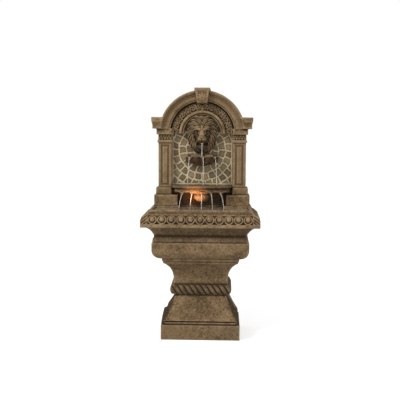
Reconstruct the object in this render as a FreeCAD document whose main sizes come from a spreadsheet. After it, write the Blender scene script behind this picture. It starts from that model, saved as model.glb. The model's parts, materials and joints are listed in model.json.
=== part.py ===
import FreeCAD, Part
import math
import os
import re

import Sketcher

DOC = FreeCAD.newDocument("floor_fountain")
VEC = FreeCAD.Vector
AXES = {"X": VEC(1, 0, 0), "Y": VEC(0, 1, 0), "Z": VEC(0, 0, 1)}

# Driving sizes in millimetres, written once and read by every sub-part.
# Cutting tools reach 1 mm past the faces they open, and joined pieces run 1 mm into each other.
SIZES = {
    # overall plan
    "rim_width": 596.9,
    "total_depth": 393.7,
    "base_width": 406.4,
    "base_depth": 298.4,
    # pedestal, from the floor up
    "plinth_height": 76,
    "groove_height": 6.5,
    "groove_inset": 16,
    "groove_band_height": 7,
    "groove_band_inset": 8,
    "foot_lip_inset": 4,
    "foot_height": 128,
    "foot_inset": 68,
    "foot_sag": 6,
    "rope_height": 53,
    "rope_bulge": 19,
    "neck_inset": 62,
    "neck_height": 35,
    "neck_flare_height": 86,
    "step_inset": 10,
    "step_lower_height": 12,
    "step_upper_height": 13,
    "step_overhang": 5,
    "pedestal_wall": 12,
    "cord_notch_width": 40,
    # basin, from the pedestal up
    "basin_foot_inset": 97,
    "bulge_height": 50,
    "bulge_inset": 52,
    "bulge_band_height": 36,
    "shoulder_height": 33,
    "shoulder_step": 4,
    "shoulder_swell": 3,
    "throat_inset": 64,
    "throat_height": 4,
    "cove_height": 48,
    "cove_inset": 20,
    "cove_sag": 7,
    "fillet_height": 17,
    "egg_band_step": 3,
    "egg_band_height": 46,
    "egg_band_inset": 29,
    "egg_band_swell": 11,
    "rim_slope_height": 21,
    "rim_land_inset": 40,
    "rim_land_width": 15,
    "basin_wall": 12,
    "basin_floor": 14,
    "spigot_height": 8,
    "spigot_gap": 2,
    "deck_depth": 150,
    "deck_thickness": 12,
    "deck_notch_half_width": 115,
    "hose_hole_radius": 14,
    # backsplash, from the rim up
    "block_height": 57.5,
    "block_outer": 252,
    "block_inner": 127,
    "block_depth": 137,
    "pilaster_base_height": 37,
    "pilaster_base_overhang": 12,
    "pilaster_base_depth": 124,
    "shaft_height": 238.5,
    "shaft_outer": 231,
    "shaft_inner": 161,
    "shaft_depth": 112,
    "sunk_margin": 12,
    "sunk_depth": 4,
    "sunk_corner": 5,
    "field_margin": 24,
    "astragal_height": 13,
    "astragal_overhang": 5,
    "frieze_height": 29,
    "architrave_height": 30,
    "architrave_overhang": 10,
    "cornice_height": 60,
    "cornice_foot_height": 15,
    "cornice_band_height": 21,
    "cornice_foot_overhang": 30,
    "cornice_overhang": 35,
    "arch_lift": 4,
    "arch_opening_radius": 98,
    "fascia_width": 11,
    "fascia_depth": 112,
    "bead_width": 13,
    "bead_depth": 118,
    "carved_band_width": 40,
    "carved_band_depth": 108,
    "arch_groove_width": 9,
    "arch_groove_depth": 98,
    "arch_fillet_width": 18,
    "arch_fillet_depth": 126,
    "arch_fillet_step": 4,
    "crown_width": 38,
    "crown_depth": 142,
    "crown_sag": 4,
    "keystone_rise": 11.4,
    "keystone_cap_height": 16,
    "keystone_cap_half_width": 41,
    "keystone_top_half_width": 36,
    "keystone_foot_half_width": 26,
    "keystone_height": 80,
    "keystone_depth": 160,
    "backsplash_wall": 12,
    # mosaic panel
    "panel_depth": 82,
    "panel_thickness": 10,
    "panel_gap": 1,
    # lion mask
    "mask_width": 157,
    "mask_height": 203,
    "mask_depth": 96,
    "mask_drop": 2,
    # shell cup
    "cup_gap": 5.5,
    "cup_core_drop": 10,
    "cup_core_radius": 52,
    "cup_front_radius": 42,
    "cup_front_spread": 30,
    "cup_front_reach": 37,
    "cup_side_radius": 32,
    "cup_side_spread": 54,
    "cup_side_reach": 15,
    "cup_wall": 6,
    "cup_back": 8,
    "cup_notch_radius": 6,
    # spill bowl
    "bowl_rise": 109,
    "bowl_half_width": 157,
    "bowl_reach": 110,
    "bowl_corner": 60,
    "bowl_rim_height": 12,
    "bowl_band_height": 22,
    "bowl_band_inset": 14,
    "bowl_wall": 15,
    "bowl_pool_depth": 20,
    "corbel_radius": 100,
    "corbel_neck_radius": 44,
    "corbel_neck_height": 16,
    "corbel_bulb_height": 46,
    "corbel_bulb_swell": 12,
    "corbel_tip_radius": 14,
    "lip_radius": 7,
    "lip_bore": 4,
    "lip_length": 34,
    "lip_spread": 47,
    # spout behind the mask
    "spout_drop": 47,
    "pipe_radius": 7,
    "pipe_bore": 5,
    "pipe_collar_radius": 10,
    "pipe_collar_length": 4,
    "pipe_setback": 54,
    "washer_radius": 14,
    "washer_thickness": 2,
    "nut_flats": 24,
    "nut_length": 8,
    "elbow_radius": 10.5,
    "elbow_gap": 3,
    "elbow_run": 18,
    "elbow_drop": 18,
    "barb_length": 26,
    # hose and its holders
    "hose_radius": 9,
    "hose_bore": 7,
    "hose_bend_radius": 70,
    "hose_bend_start": 44,
    "hose_lift": 3,
    "clamp_width": 8,
    "clamp_thickness": 1.6,
    "clamp_margin": 4,
    "clamp_lug_length": 6,
    "clamp_lug_width": 8,
    "clip_width": 12,
    "clip_thickness": 3,
    "clip_lower_rise": 100,
    "clip_upper_rise": 210,
    # pump
    "pump_setback": 131,
    "pump_width": 52,
    "pump_height": 56,
    "motor_length": 50,
    "volute_length": 18,
    "strainer_length": 27,
    "strainer_wall": 2.5,
    "strainer_slot": 3,
    "strainer_margin": 8,
    "foot_pad_height": 8,
    "foot_pad_radius": 7,
    "foot_pad_top_radius": 4.2,
    "rotor_radius": 8.5,
    "rotor_gap": 1,
    "rotor_length": 32,
    "blade_radius": 15,
    "blade_length": 10,
    "blade_thickness": 2,
    "chamber_gap": 2,
    "volute_front": 3,
    "shaft_radius": 1.5,
    "running_gap": 0.05,
    "bush_radius": 4,
    "bush_length": 6,
    "boss_radius": 5.5,
    "boss_length": 6,
    "intake_radius": 3,
    "intake_circle": 10.5,
    "dial_radius": 15,
    "dial_thickness": 2.5,
    "dial_tab": 5,
    "seal_radius": 21,
    "seal_width": 2,
    "pump_outlet_rise": 30,
    "gland_radius": 5,
    "gland_nose_radius": 3.5,
    "gland_length": 14,
    "gland_rise": 10,
    # lamp
    "lamp_offset": 70,
    "lamp_setback": 117,
    "lamp_drop": 20,
    "lamp_radius": 22,
    "lamp_length": 30,
    "lamp_wall": 3.5,
    "lamp_floor": 4,
    "lamp_shoulder": 4,
    "board_drop": 10,
    "board_thickness": 2,
    "chip_circle": 10.2,
    "chip_half_width": 2.5,
    "chip_height": 2,
    "lens_thickness": 4,
    "bezel_radius": 25,
    "bezel_lip": 4,
    "bezel_skirt": 8,
    "yoke_gap": 1,
    "yoke_thickness": 3,
    "yoke_arm_height": 20,
    "yoke_foot": 34,
    "pivot_radius": 2.5,
    "pivot_rise": 14,
    "pivot_boss": 6,
    "pivot_gap": 0.1,
    "side_gap": 0.3,
    "screw_head_radius": 5,
    "screw_head_height": 3,
    "yoke_screw_radius": 2,
    "yoke_screw_length": 11,
    "yoke_screw_spread": 14,
    # cord stopper
    "stopper_offset": 150,
    "stopper_setback": 77,
    "stopper_radius": 14,
    "stopper_flange": 18,
    "stopper_flange_height": 5,
    "stopper_gap": 0.3,
    "cord_hole_radius": 3.5,
    # bolts that hold the backsplash down
    "bolt_offset": 190,
    "bolt_setback": 32,
    "bolt_radius": 4,
    "bolt_head_flats": 13,
    "bolt_head_height": 5.5,
    "bolt_length": 50,
    "bolt_washer_radius": 9,
    "bolt_washer_thickness": 2,
    "wing_nut_radius": 8,
    "wing_nut_height": 9,
    "wing_span": 17,
    "wing_height": 12,
    "wing_drop": 2,
    "wing_thickness": 3,
    # screws that hold cup and bowl from behind
    "fixing_radius": 2.5,
    "fixing_bite": 10,
    "bowl_screw_offset": 100,
    "cup_screw_offset": 22,
    "cup_screw_drop": 24,
}

SHEET = DOC.addObject("Spreadsheet::Sheet", "Sizes")
for row, (alias, number) in enumerate(SIZES.items(), start=1):
    SHEET.set(f"A{row}", alias)
    SHEET.set(f"B{row}", str(number))
    SHEET.setAlias(f"B{row}", alias)
DOC.recompute()

# Levels and planes that several sub-parts share.
BACK = "(total_depth / 2)"
BASE_FRONT = f"({BACK} - base_depth)"
FOOT_Z = "(plinth_height + 2 * groove_height + groove_band_height)"
ROPE_Z = f"({FOOT_Z} + foot_height)"
NECK_Z = f"({ROPE_Z} + rope_height)"
FLARE_Z = f"({NECK_Z} + neck_height)"
STEP_Z = f"({FLARE_Z} + neck_flare_height)"
BASIN_Z = f"({STEP_Z} + step_lower_height + step_upper_height)"
BULGE_Z = f"({BASIN_Z} + bulge_height)"
SHOULDER_Z = f"({BULGE_Z} + bulge_band_height)"
THROAT_Z = f"({SHOULDER_Z} + shoulder_height)"
COVE_Z = f"({THROAT_Z} + throat_height)"
FILLET_Z = f"({COVE_Z} + cove_height)"
EGG_Z = f"({FILLET_Z} + fillet_height)"
SLOPE_Z = f"({EGG_Z} + egg_band_height)"
RIM_Z = f"({SLOPE_Z} + rim_slope_height)"
FLOOR_Z = f"({BASIN_Z} + basin_floor)"
DECK_Z = f"({RIM_Z} - deck_thickness)"
DECK_FRONT = f"({BACK} - deck_depth)"
BLOCK_TOP = f"({RIM_Z} + block_height)"
SHAFT_Z = f"({BLOCK_TOP} + pilaster_base_height)"
ASTRAGAL_Z = f"({SHAFT_Z} + shaft_height)"
FRIEZE_Z = f"({ASTRAGAL_Z} + astragal_height)"
ARCHITRAVE_Z = f"({FRIEZE_Z} + frieze_height)"
CORNICE_Z = f"({ARCHITRAVE_Z} + architrave_height)"
CORNICE_TOP = f"({CORNICE_Z} + cornice_height)"
ARCH_Z = f"({ARCHITRAVE_Z} + arch_lift)"
FASCIA_R = "(arch_opening_radius + fascia_width)"
BEAD_R = f"({FASCIA_R} + bead_width)"
CARVED_R = f"({BEAD_R} + carved_band_width)"
GROOVE_R = f"({CARVED_R} + arch_groove_width)"
FILLET_R = f"({GROOVE_R} + arch_fillet_width)"
ARCH_R = f"({FILLET_R} + crown_width)"
CROWN_LIP_R = f"({ARCH_R} - crown_width / 4)"
TOP_Z = f"({ARCH_Z} + {ARCH_R} + keystone_rise)"
PANEL_Y = f"({BACK} - panel_depth)"
WALL_Y = f"({PANEL_Y} + panel_thickness + backsplash_wall)"
BOWL_TOP = f"({RIM_Z} + bowl_rise)"
MASK_Z = f"({ARCH_Z} - mask_drop)"
SPOUT_Z = f"({MASK_Z} - spout_drop)"
CUP_TOP = f"({MASK_Z} - mask_height / 2 - cup_gap)"
CUP_CORE_Z = f"({CUP_TOP} - cup_core_drop)"
CUP_SCREW_Z = f"({CUP_TOP} - cup_screw_drop)"
BOWL_SCREW_Z = f"({BOWL_TOP} - (bowl_rim_height + bowl_band_height + bowl_pool_depth) / 2)"
BOLT_Y = f"({BACK} - bolt_setback)"
STOPPER_Y = f"({BACK} - stopper_setback)"
SOCKET_Y = f"({WALL_Y} + washer_thickness + nut_length + elbow_gap)"
PIPE_BACK = f"({SOCKET_Y} + elbow_run / 2)"
HOSE_Y = f"({SOCKET_Y} + elbow_run)"
LAMP_X = "(-lamp_offset)"
LAMP_Y = f"({BACK} - lamp_setback)"
YOKE_SCREW_X = "(-deck_notch_half_width - yoke_foot / 2)"
YOKE_SCREWS = (f"({LAMP_Y} - yoke_screw_spread)", f"({LAMP_Y} + yoke_screw_spread)")
PUMP_Y = f"({BACK} - pump_setback)"
PUMP_Z = f"({FLOOR_Z} + foot_pad_height)"
PUMP_TOP = f"({PUMP_Z} + pump_height)"
AXIS_Z = f"({PUMP_Z} + pump_height / 2)"
MOTOR_Y = f"({PUMP_Y} + volute_length / 2)"
VOLUTE_Y = f"({PUMP_Y} - volute_length / 2)"
MOTOR_BACK = f"({MOTOR_Y} + motor_length)"
WELL_DEPTH = "(rotor_length + 2 * rotor_gap)"
HOSE_LOW = f"({PUMP_TOP} + hose_lift)"
HOSE_HIGH = f"({SPOUT_Z} - elbow_drop)"
INTAKES = (
    ("intake_circle", AXIS_Z),
    ("-intake_circle", AXIS_Z),
    ("0", f"{AXIS_Z} + intake_circle"),
    ("0", f"{AXIS_Z} - intake_circle"),
)


def expand(text):
    """Turn plain size names into references to the sheet."""
    def reference(match):
        word = match.group(0)
        return "Sizes." + word if word in SIZES else word
    return re.sub(r"[a-z_]+", reference, text)


def value(text):
    """The number that an expression of size names gives now."""
    return float(SHEET.evalExpression(expand(text)))


def drive(item, prop, text):
    """Bind a property to an expression of size names."""
    item.setExpression(prop, expand(text))


def place(item, x, y, z):
    """Bind the position of an item."""
    drive(item, "Placement.Base.x", x)
    drive(item, "Placement.Base.y", y)
    drive(item, "Placement.Base.z", z)
    return item


def box(x0, x1, y0, y1, z0, z1):
    """Rectangular block between six planes."""
    item = DOC.addObject("Part::Box", "block")
    drive(item, "Length", f"({x1}) - ({x0})")
    drive(item, "Width", f"({y1}) - ({y0})")
    drive(item, "Height", f"({z1}) - ({z0})")
    return place(item, x0, y0, z0)


def rod(axis, radius, length, x, y, z):
    """Round bar that starts at a point and runs along +X, +Y or +Z."""
    item = DOC.addObject("Part::Cylinder", "rod")
    item.Placement.Rotation = FreeCAD.Rotation(AXES["Z"], AXES[axis])
    drive(item, "Radius", radius)
    drive(item, "Height", length)
    return place(item, x, y, z)


def hexagon(axis, flats, length, x, y, z):
    """Hexagonal bar, measured over its flats."""
    item = DOC.addObject("Part::Prism", "hexagon")
    item.Polygon = 6
    item.Placement.Rotation = FreeCAD.Rotation(AXES["Z"], AXES[axis])
    drive(item, "Circumradius", f"({flats}) / sqrt(3)")
    drive(item, "Height", length)
    return place(item, x, y, z)


def cone(radius_low, radius_high, length, x, y, z):
    """Upright cone frustum."""
    item = DOC.addObject("Part::Cone", "cone")
    drive(item, "Radius1", radius_low)
    drive(item, "Radius2", radius_high)
    drive(item, "Height", length)
    return place(item, x, y, z)


def ball(radius, x, y, z):
    """Sphere about a point."""
    item = DOC.addObject("Part::Sphere", "ball")
    drive(item, "Radius", radius)
    return place(item, x, y, z)


def lobe(x, y, z, radius_x, radius_y, radius_z):
    """Ellipsoid about a point, for carved swellings."""
    item = DOC.addObject("Part::Ellipsoid", "lobe")
    drive(item, "Radius1", radius_z)
    drive(item, "Radius2", radius_x)
    drive(item, "Radius3", radius_y)
    return place(item, x, y, z)


def fuse(*items):
    """One solid out of several that meet."""
    item = DOC.addObject("Part::MultiFuse", "fusion")
    item.Shapes = list(items)
    item.Refine = True
    return item


def cut(base, *tools):
    """A solid with tools taken out of it."""
    item = DOC.addObject("Part::Cut", "cut")
    item.Base = base
    item.Tool = tools[0] if len(tools) == 1 else fuse(*tools)
    item.Refine = True
    return item


def common(first, second):
    """What two solids share."""
    item = DOC.addObject("Part::Common", "common")
    item.Base = first
    item.Tool = second
    return item


def group(*items):
    """Separate solids kept together as one sub-part."""
    item = DOC.addObject("Part::Compound", "group")
    item.Links = list(items)
    return item


def wing(side, inner, outer):
    """X limits of a piece on the left (-1) or right (+1) half."""
    return (inner, outer) if side > 0 else (f"-({outer})", f"-({inner})")


def mirrored(side, text):
    """A distance from the middle plane, on the left or right half."""
    return text if side > 0 else f"-({text})"


def tangent_radius(rise, run):
    """Radius of an arc that leaves parallel to its rise and ends run away."""
    return f"((({rise})^2 + ({run})^2) / (2 * ({run})))"


def sag_radius(rise, run, sag):
    """Radius of an arc that bows by sag from its chord."""
    return f"(((({rise})^2 + ({run})^2) / 4 + ({sag})^2) / (2 * ({sag})))"


def origin_plane(body, role):
    return [feature for feature in body.Origin.OriginFeatures if feature.Role == role][0]


def outline(body, plane, points, normal_offset="0", shift="0"):
    """Closed sketch through points (u, v, arc); arc is None or (side, radius) up to the next point.

    Side +1 bows to the right of the way the outline runs, -1 to its left.
    """
    sketch = body.newObject("Sketcher::SketchObject", "outline")
    sketch.AttachmentSupport = [(origin_plane(body, plane), "")]
    sketch.MapMode = "FlatFace"
    drive(sketch, "AttachmentOffset.Base.z", normal_offset)
    drive(sketch, "AttachmentOffset.Base.x", shift)
    corners = [VEC(value(u), value(v), 0) for u, v, arc in points]
    constraints = []
    bindings = []
    for index, (u, v, arc) in enumerate(points):
        start = corners[index]
        end = corners[(index + 1) % len(corners)]
        if arc is None:
            sketch.addGeometry(Part.LineSegment(start, end))
        else:
            side, radius = arc
            chord = end - start
            half = chord.Length / 2
            sag = value(radius) - math.sqrt(max(value(radius) ** 2 - half ** 2, 0))
            right = VEC(chord.y, -chord.x, 0).normalize()
            middle = (start + end) / 2 + right * (side * sag)
            sketch.addGeometry(Part.Arc(start, middle, end) if side > 0 else Part.Arc(end, middle, start))
    starts = []
    ends = []
    for index, (u, v, arc) in enumerate(points):
        geometry = sketch.Geometry[index]
        forward = geometry.StartPoint.distanceToPoint(corners[index]) < 1e-4
        starts.append(1 if forward else 2)
        ends.append(2 if forward else 1)
    for index, (u, v, arc) in enumerate(points):
        after = (index + 1) % len(points)
        constraints.append(Sketcher.Constraint("Coincident", index, ends[index], after, starts[after]))
        corner = corners[index]
        for kind, text, coordinate in (("DistanceX", u, corner.x), ("DistanceY", v, corner.y)):
            if text == "0":
                axis = -2 if kind == "DistanceX" else -1
                constraints.append(Sketcher.Constraint("PointOnObject", index, starts[index], axis))
            else:
                bindings.append((len(constraints), text))
                constraints.append(Sketcher.Constraint(kind, -1, 1, index, starts[index], coordinate))
        if arc is not None:
            bindings.append((len(constraints), arc[1]))
            constraints.append(Sketcher.Constraint("Radius", index, value(arc[1])))
    sketch.addConstraint(constraints)
    for index, text in bindings:
        drive(sketch, f"Constraints[{index}]", text)
    return sketch


def pad(body, sketch, length, symmetric=False, taken_out=False):
    """Extrude a sketch along its normal, to add or to take out."""
    item = body.newObject("PartDesign::Pocket" if taken_out else "PartDesign::Pad", "extrusion")
    item.Profile = sketch
    drive(item, "Length", length)
    if symmetric:
        item.SideType = "Symmetric"
    return item


def spin(body, sketch, angle, symmetric=False, reverse=False):
    """Turn a sketch about its own vertical axis."""
    item = body.newObject("PartDesign::Revolution", "turning")
    item.Profile = sketch
    item.ReferenceAxis = (sketch, ["V_Axis"])
    item.Angle = angle
    if symmetric:
        item.Midplane = True
    item.Reversed = reverse
    return item


def new_body(name):
    return DOC.addObject("PartDesign::Body", name)


def moulded_block(name, half_width, front, back, profile):
    """Block whose moulding runs along its front and both sides; profile is (inset, z, arc) going up."""
    body = new_body(name)
    right = [(f"{half_width} - ({inset})", z, arc) for inset, z, arc in profile]
    left = []
    for index in range(len(profile) - 1, -1, -1):
        arc = profile[index - 1][2] if index > 0 else None
        left.append((f"-({half_width} - ({profile[index][0]}))", profile[index][1], arc))
    face = outline(body, "XZ_Plane", right + left, normal_offset=f"-({back})")
    pad(body, face, f"({back}) - ({front}) + 1")
    side = []
    for inset, z, arc in profile:
        side.append((f"{front} + ({inset})", z, None if arc is None else (-arc[0], arc[1])))
    ahead = f"{front} - ({half_width})"
    side.append((ahead, profile[-1][1], None))
    side.append((ahead, profile[0][1], None))
    pad(body, outline(body, "YZ_Plane", side), f"4 * ({half_width})", symmetric=True, taken_out=True)
    return body


NODES = {}


def keep(name, item):
    """Name a finished sub-part."""
    item.Label = name
    NODES[name] = item


def pedestal():
    half = "base_width / 2"
    foot_run = "(foot_inset - foot_lip_inset)"
    flare_run = "(neck_inset - step_inset)"
    rope_run = "(foot_inset - neck_inset)"
    groove_band = "(plinth_height + groove_height)"
    outer = moulded_block("pedestal_outside", half, BASE_FRONT, BACK, [
        ("0", "0", None),
        ("0", "plinth_height", None),
        ("groove_inset", "plinth_height", None),
        ("groove_inset", groove_band, None),
        ("groove_band_inset", groove_band, None),
        ("groove_band_inset", f"{FOOT_Z} - groove_height", None),
        ("groove_inset", f"{FOOT_Z} - groove_height", None),
        ("groove_inset", FOOT_Z, None),
        ("foot_lip_inset", FOOT_Z, (-1, sag_radius("foot_height", foot_run, "foot_sag"))),
        ("foot_inset", ROPE_Z, (1, sag_radius("rope_height", rope_run, "rope_bulge"))),
        ("neck_inset", NECK_Z, None),
        ("neck_inset", FLARE_Z, (-1, tangent_radius("neck_flare_height", flare_run))),
        ("step_inset", STEP_Z, None),
        ("step_inset", f"{STEP_Z} + step_lower_height", None),
        ("step_inset - step_overhang", f"{STEP_Z} + step_lower_height", None),
        ("step_inset - step_overhang", BASIN_Z, None),
    ])
    inner = moulded_block("pedestal_inside", half, BASE_FRONT, f"{BACK} - pedestal_wall", [
        ("groove_inset + pedestal_wall", "-1", None),
        ("groove_inset + pedestal_wall", "plinth_height", None),
        ("foot_inset + pedestal_wall", ROPE_Z, None),
        ("foot_inset + pedestal_wall", f"{STEP_Z} - pedestal_wall", None),
        ("step_inset + pedestal_wall", STEP_Z, None),
        ("step_inset + pedestal_wall", f"{BASIN_Z} + 1", None),
    ])
    notch = fuse(
        box("-cord_notch_width / 2", "cord_notch_width / 2", f"{BACK} - 2 * pedestal_wall", f"{BACK} + 1",
            "-1", "cord_notch_width"),
        rod("Y", "cord_notch_width / 2", "2 * pedestal_wall + 1", "0", f"{BACK} - 2 * pedestal_wall",
            "cord_notch_width"),
    )
    keep("pedestal", cut(outer, inner, notch))


def basin():
    half = "rim_width / 2"
    front = f"(-{BACK})"
    bulge_run = "(basin_foot_inset - bulge_inset)"
    shoulder_run = "(throat_inset - bulge_inset - shoulder_step)"
    cove_run = "(throat_inset - cove_inset)"
    egg_run = "(egg_band_inset - egg_band_step)"
    outer = moulded_block("basin_outside", half, front, BACK, [
        ("basin_foot_inset", BASIN_Z, (1, tangent_radius("bulge_height", bulge_run))),
        ("bulge_inset", BULGE_Z, None),
        ("bulge_inset", SHOULDER_Z, None),
        ("bulge_inset + shoulder_step", SHOULDER_Z,
         (1, sag_radius("shoulder_height", shoulder_run, "shoulder_swell"))),
        ("throat_inset", THROAT_Z, None),
        ("throat_inset", COVE_Z, (-1, sag_radius("cove_height", cove_run, "cove_sag"))),
        ("cove_inset", FILLET_Z, None),
        ("0", FILLET_Z, None),
        ("0", EGG_Z, None),
        ("egg_band_step", EGG_Z, (1, sag_radius("egg_band_height", egg_run, "egg_band_swell"))),
        ("egg_band_inset", SLOPE_Z, None),
        ("rim_land_inset", RIM_Z, None),
    ])
    mouth_inset = "rim_land_inset + rim_land_width"
    inner = moulded_block("basin_inside", half, front, f"{BACK} - basin_wall", [
        ("throat_inset + 2 * basin_wall", FLOOR_Z, None),
        ("throat_inset + basin_wall", f"{FLOOR_Z} + basin_wall", None),
        ("throat_inset + basin_wall", FILLET_Z, None),
        (mouth_inset, f"{EGG_Z} + basin_wall / 2", None),
        (mouth_inset, f"{RIM_Z} + 1", None),
    ])
    spigot_half = "(base_width / 2 - step_inset - pedestal_wall - spigot_gap)"
    spigot = box(f"-{spigot_half}", spigot_half,
                 f"{BASE_FRONT} + step_inset + pedestal_wall + spigot_gap",
                 f"{BACK} - pedestal_wall - spigot_gap",
                 f"{BASIN_Z} - spigot_height", f"{BASIN_Z} + 1")
    shell = cut(fuse(outer, spigot), inner)
    deck_half = f"(rim_width / 2 - ({mouth_inset}) + 2)"
    deck = box(f"-{deck_half}", deck_half, DECK_FRONT, f"{BACK} - basin_wall / 2", DECK_Z, RIM_Z)
    notch = box("-deck_notch_half_width", "deck_notch_half_width", f"{DECK_FRONT} - 1", PANEL_Y,
                f"{DECK_Z} - 1", f"{RIM_Z} + 1")
    drilled = [rod("Z", "hose_hole_radius", "deck_thickness + 2", "0", HOSE_Y, f"{DECK_Z} - 1")]
    for side in (-1, 1):
        drilled.append(rod("Z", "bolt_radius", "deck_thickness + 2", mirrored(side, "bolt_offset"), BOLT_Y,
                           f"{DECK_Z} - 1"))
    for y in YOKE_SCREWS:
        drilled.append(rod("Z", "yoke_screw_radius", "yoke_screw_length - yoke_thickness",
                           YOKE_SCREW_X, y, DECK_Z))
    drilled.append(rod("Z", "stopper_radius", "basin_floor + spigot_height + 2", "stopper_offset", STOPPER_Y,
                       f"{BASIN_Z} - spigot_height - 1"))
    keep("basin", cut(fuse(shell, deck), notch, *drilled))


def arched_body(name, half, low, spring, radius, front, back):
    """Upright slab with a half-round head, joined by level shoulders where the head is narrower or wider."""
    body = new_body(name)
    slab = outline(body, "XZ_Plane", [
        (f"-({half})", low, None),
        (half, low, None),
        (half, spring, None),
        (radius, spring, (1, f"({radius})")),
        ("0", f"{spring} + {radius}", (1, f"({radius})")),
        (f"-({radius})", spring, None),
        (f"-({half})", spring, None),
    ], normal_offset=f"-({back})")
    pad(body, slab, f"({back}) - ({front})")
    return body


def sunk_frame(side):
    """Groove round a raised field in the front of a pilaster shaft."""
    body = new_body("sunk_panel")
    inner, outer = wing(side, "shaft_inner + sunk_margin", "shaft_outer - sunk_margin")
    low = f"{SHAFT_Z} + sunk_margin"
    high = f"{ASTRAGAL_Z} - sunk_margin"
    corner = (1, "sunk_corner")
    sketch = outline(body, "XZ_Plane", [
        (f"{inner} + sunk_corner", low, None),
        (f"{outer} - sunk_corner", low, corner),
        (outer, f"{low} + sunk_corner", None),
        (outer, f"{high} - sunk_corner", corner),
        (f"{outer} - sunk_corner", high, None),
        (f"{inner} + sunk_corner", high, corner),
        (inner, f"{high} - sunk_corner", None),
        (inner, f"{low} + sunk_corner", corner),
    ], normal_offset=f"-({BACK} - shaft_depth + sunk_depth)")
    pad(body, sketch, "sunk_depth + 1")
    field = box(*wing(side, "shaft_inner + field_margin", "shaft_outer - field_margin"),
                f"{BACK} - shaft_depth - 2", f"{BACK} - shaft_depth + sunk_depth + 1",
                f"{SHAFT_Z} + field_margin", f"{ASTRAGAL_Z} - field_margin")
    return cut(body, field)


def arch_ring():
    body = new_body("arch_ring")
    fillet_face = f"({BACK} - arch_fillet_depth + arch_fillet_step)"
    fillet_middle = f"({GROOVE_R} + arch_fillet_width / 2)"
    sketch = outline(body, "XY_Plane", [
        ("arch_opening_radius", BACK, None),
        ("arch_opening_radius", f"{BACK} - fascia_depth", None),
        (FASCIA_R, f"{BACK} - fascia_depth", None),
        (FASCIA_R, f"{BACK} - bead_depth", None),
        (BEAD_R, f"{BACK} - bead_depth", None),
        (BEAD_R, f"{BACK} - carved_band_depth", None),
        (CARVED_R, f"{BACK} - carved_band_depth", None),
        (CARVED_R, f"{BACK} - arch_groove_depth", None),
        (GROOVE_R, f"{BACK} - arch_groove_depth", None),
        (GROOVE_R, fillet_face, None),
        (fillet_middle, fillet_face, None),
        (fillet_middle, f"{BACK} - arch_fillet_depth", None),
        (FILLET_R, f"{BACK} - arch_fillet_depth",
         (-1, sag_radius("(crown_depth - arch_fillet_depth)", "(crown_width * 3 / 4)", "crown_sag"))),
        (CROWN_LIP_R, f"{BACK} - crown_depth", None),
        (ARCH_R, f"{BACK} - crown_depth", None),
        (ARCH_R, BACK, None),
    ], normal_offset=ARCH_Z)
    spin(body, sketch, 180, reverse=True)
    return body


def keystone():
    body = new_body("keystone")
    low = f"({TOP_Z} - keystone_height)"
    cap = f"({TOP_Z} - keystone_cap_height)"
    sketch = outline(body, "XZ_Plane", [
        ("-keystone_foot_half_width", low, None),
        ("keystone_foot_half_width", low, None),
        ("keystone_top_half_width", cap, None),
        ("keystone_cap_half_width", cap, None),
        ("keystone_cap_half_width", TOP_Z, None),
        ("-keystone_cap_half_width", TOP_Z, None),
        ("-keystone_cap_half_width", cap, None),
        ("-keystone_top_half_width", cap, None),
    ], normal_offset=f"-({BACK})")
    pad(body, sketch, "keystone_depth")
    return body


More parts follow.
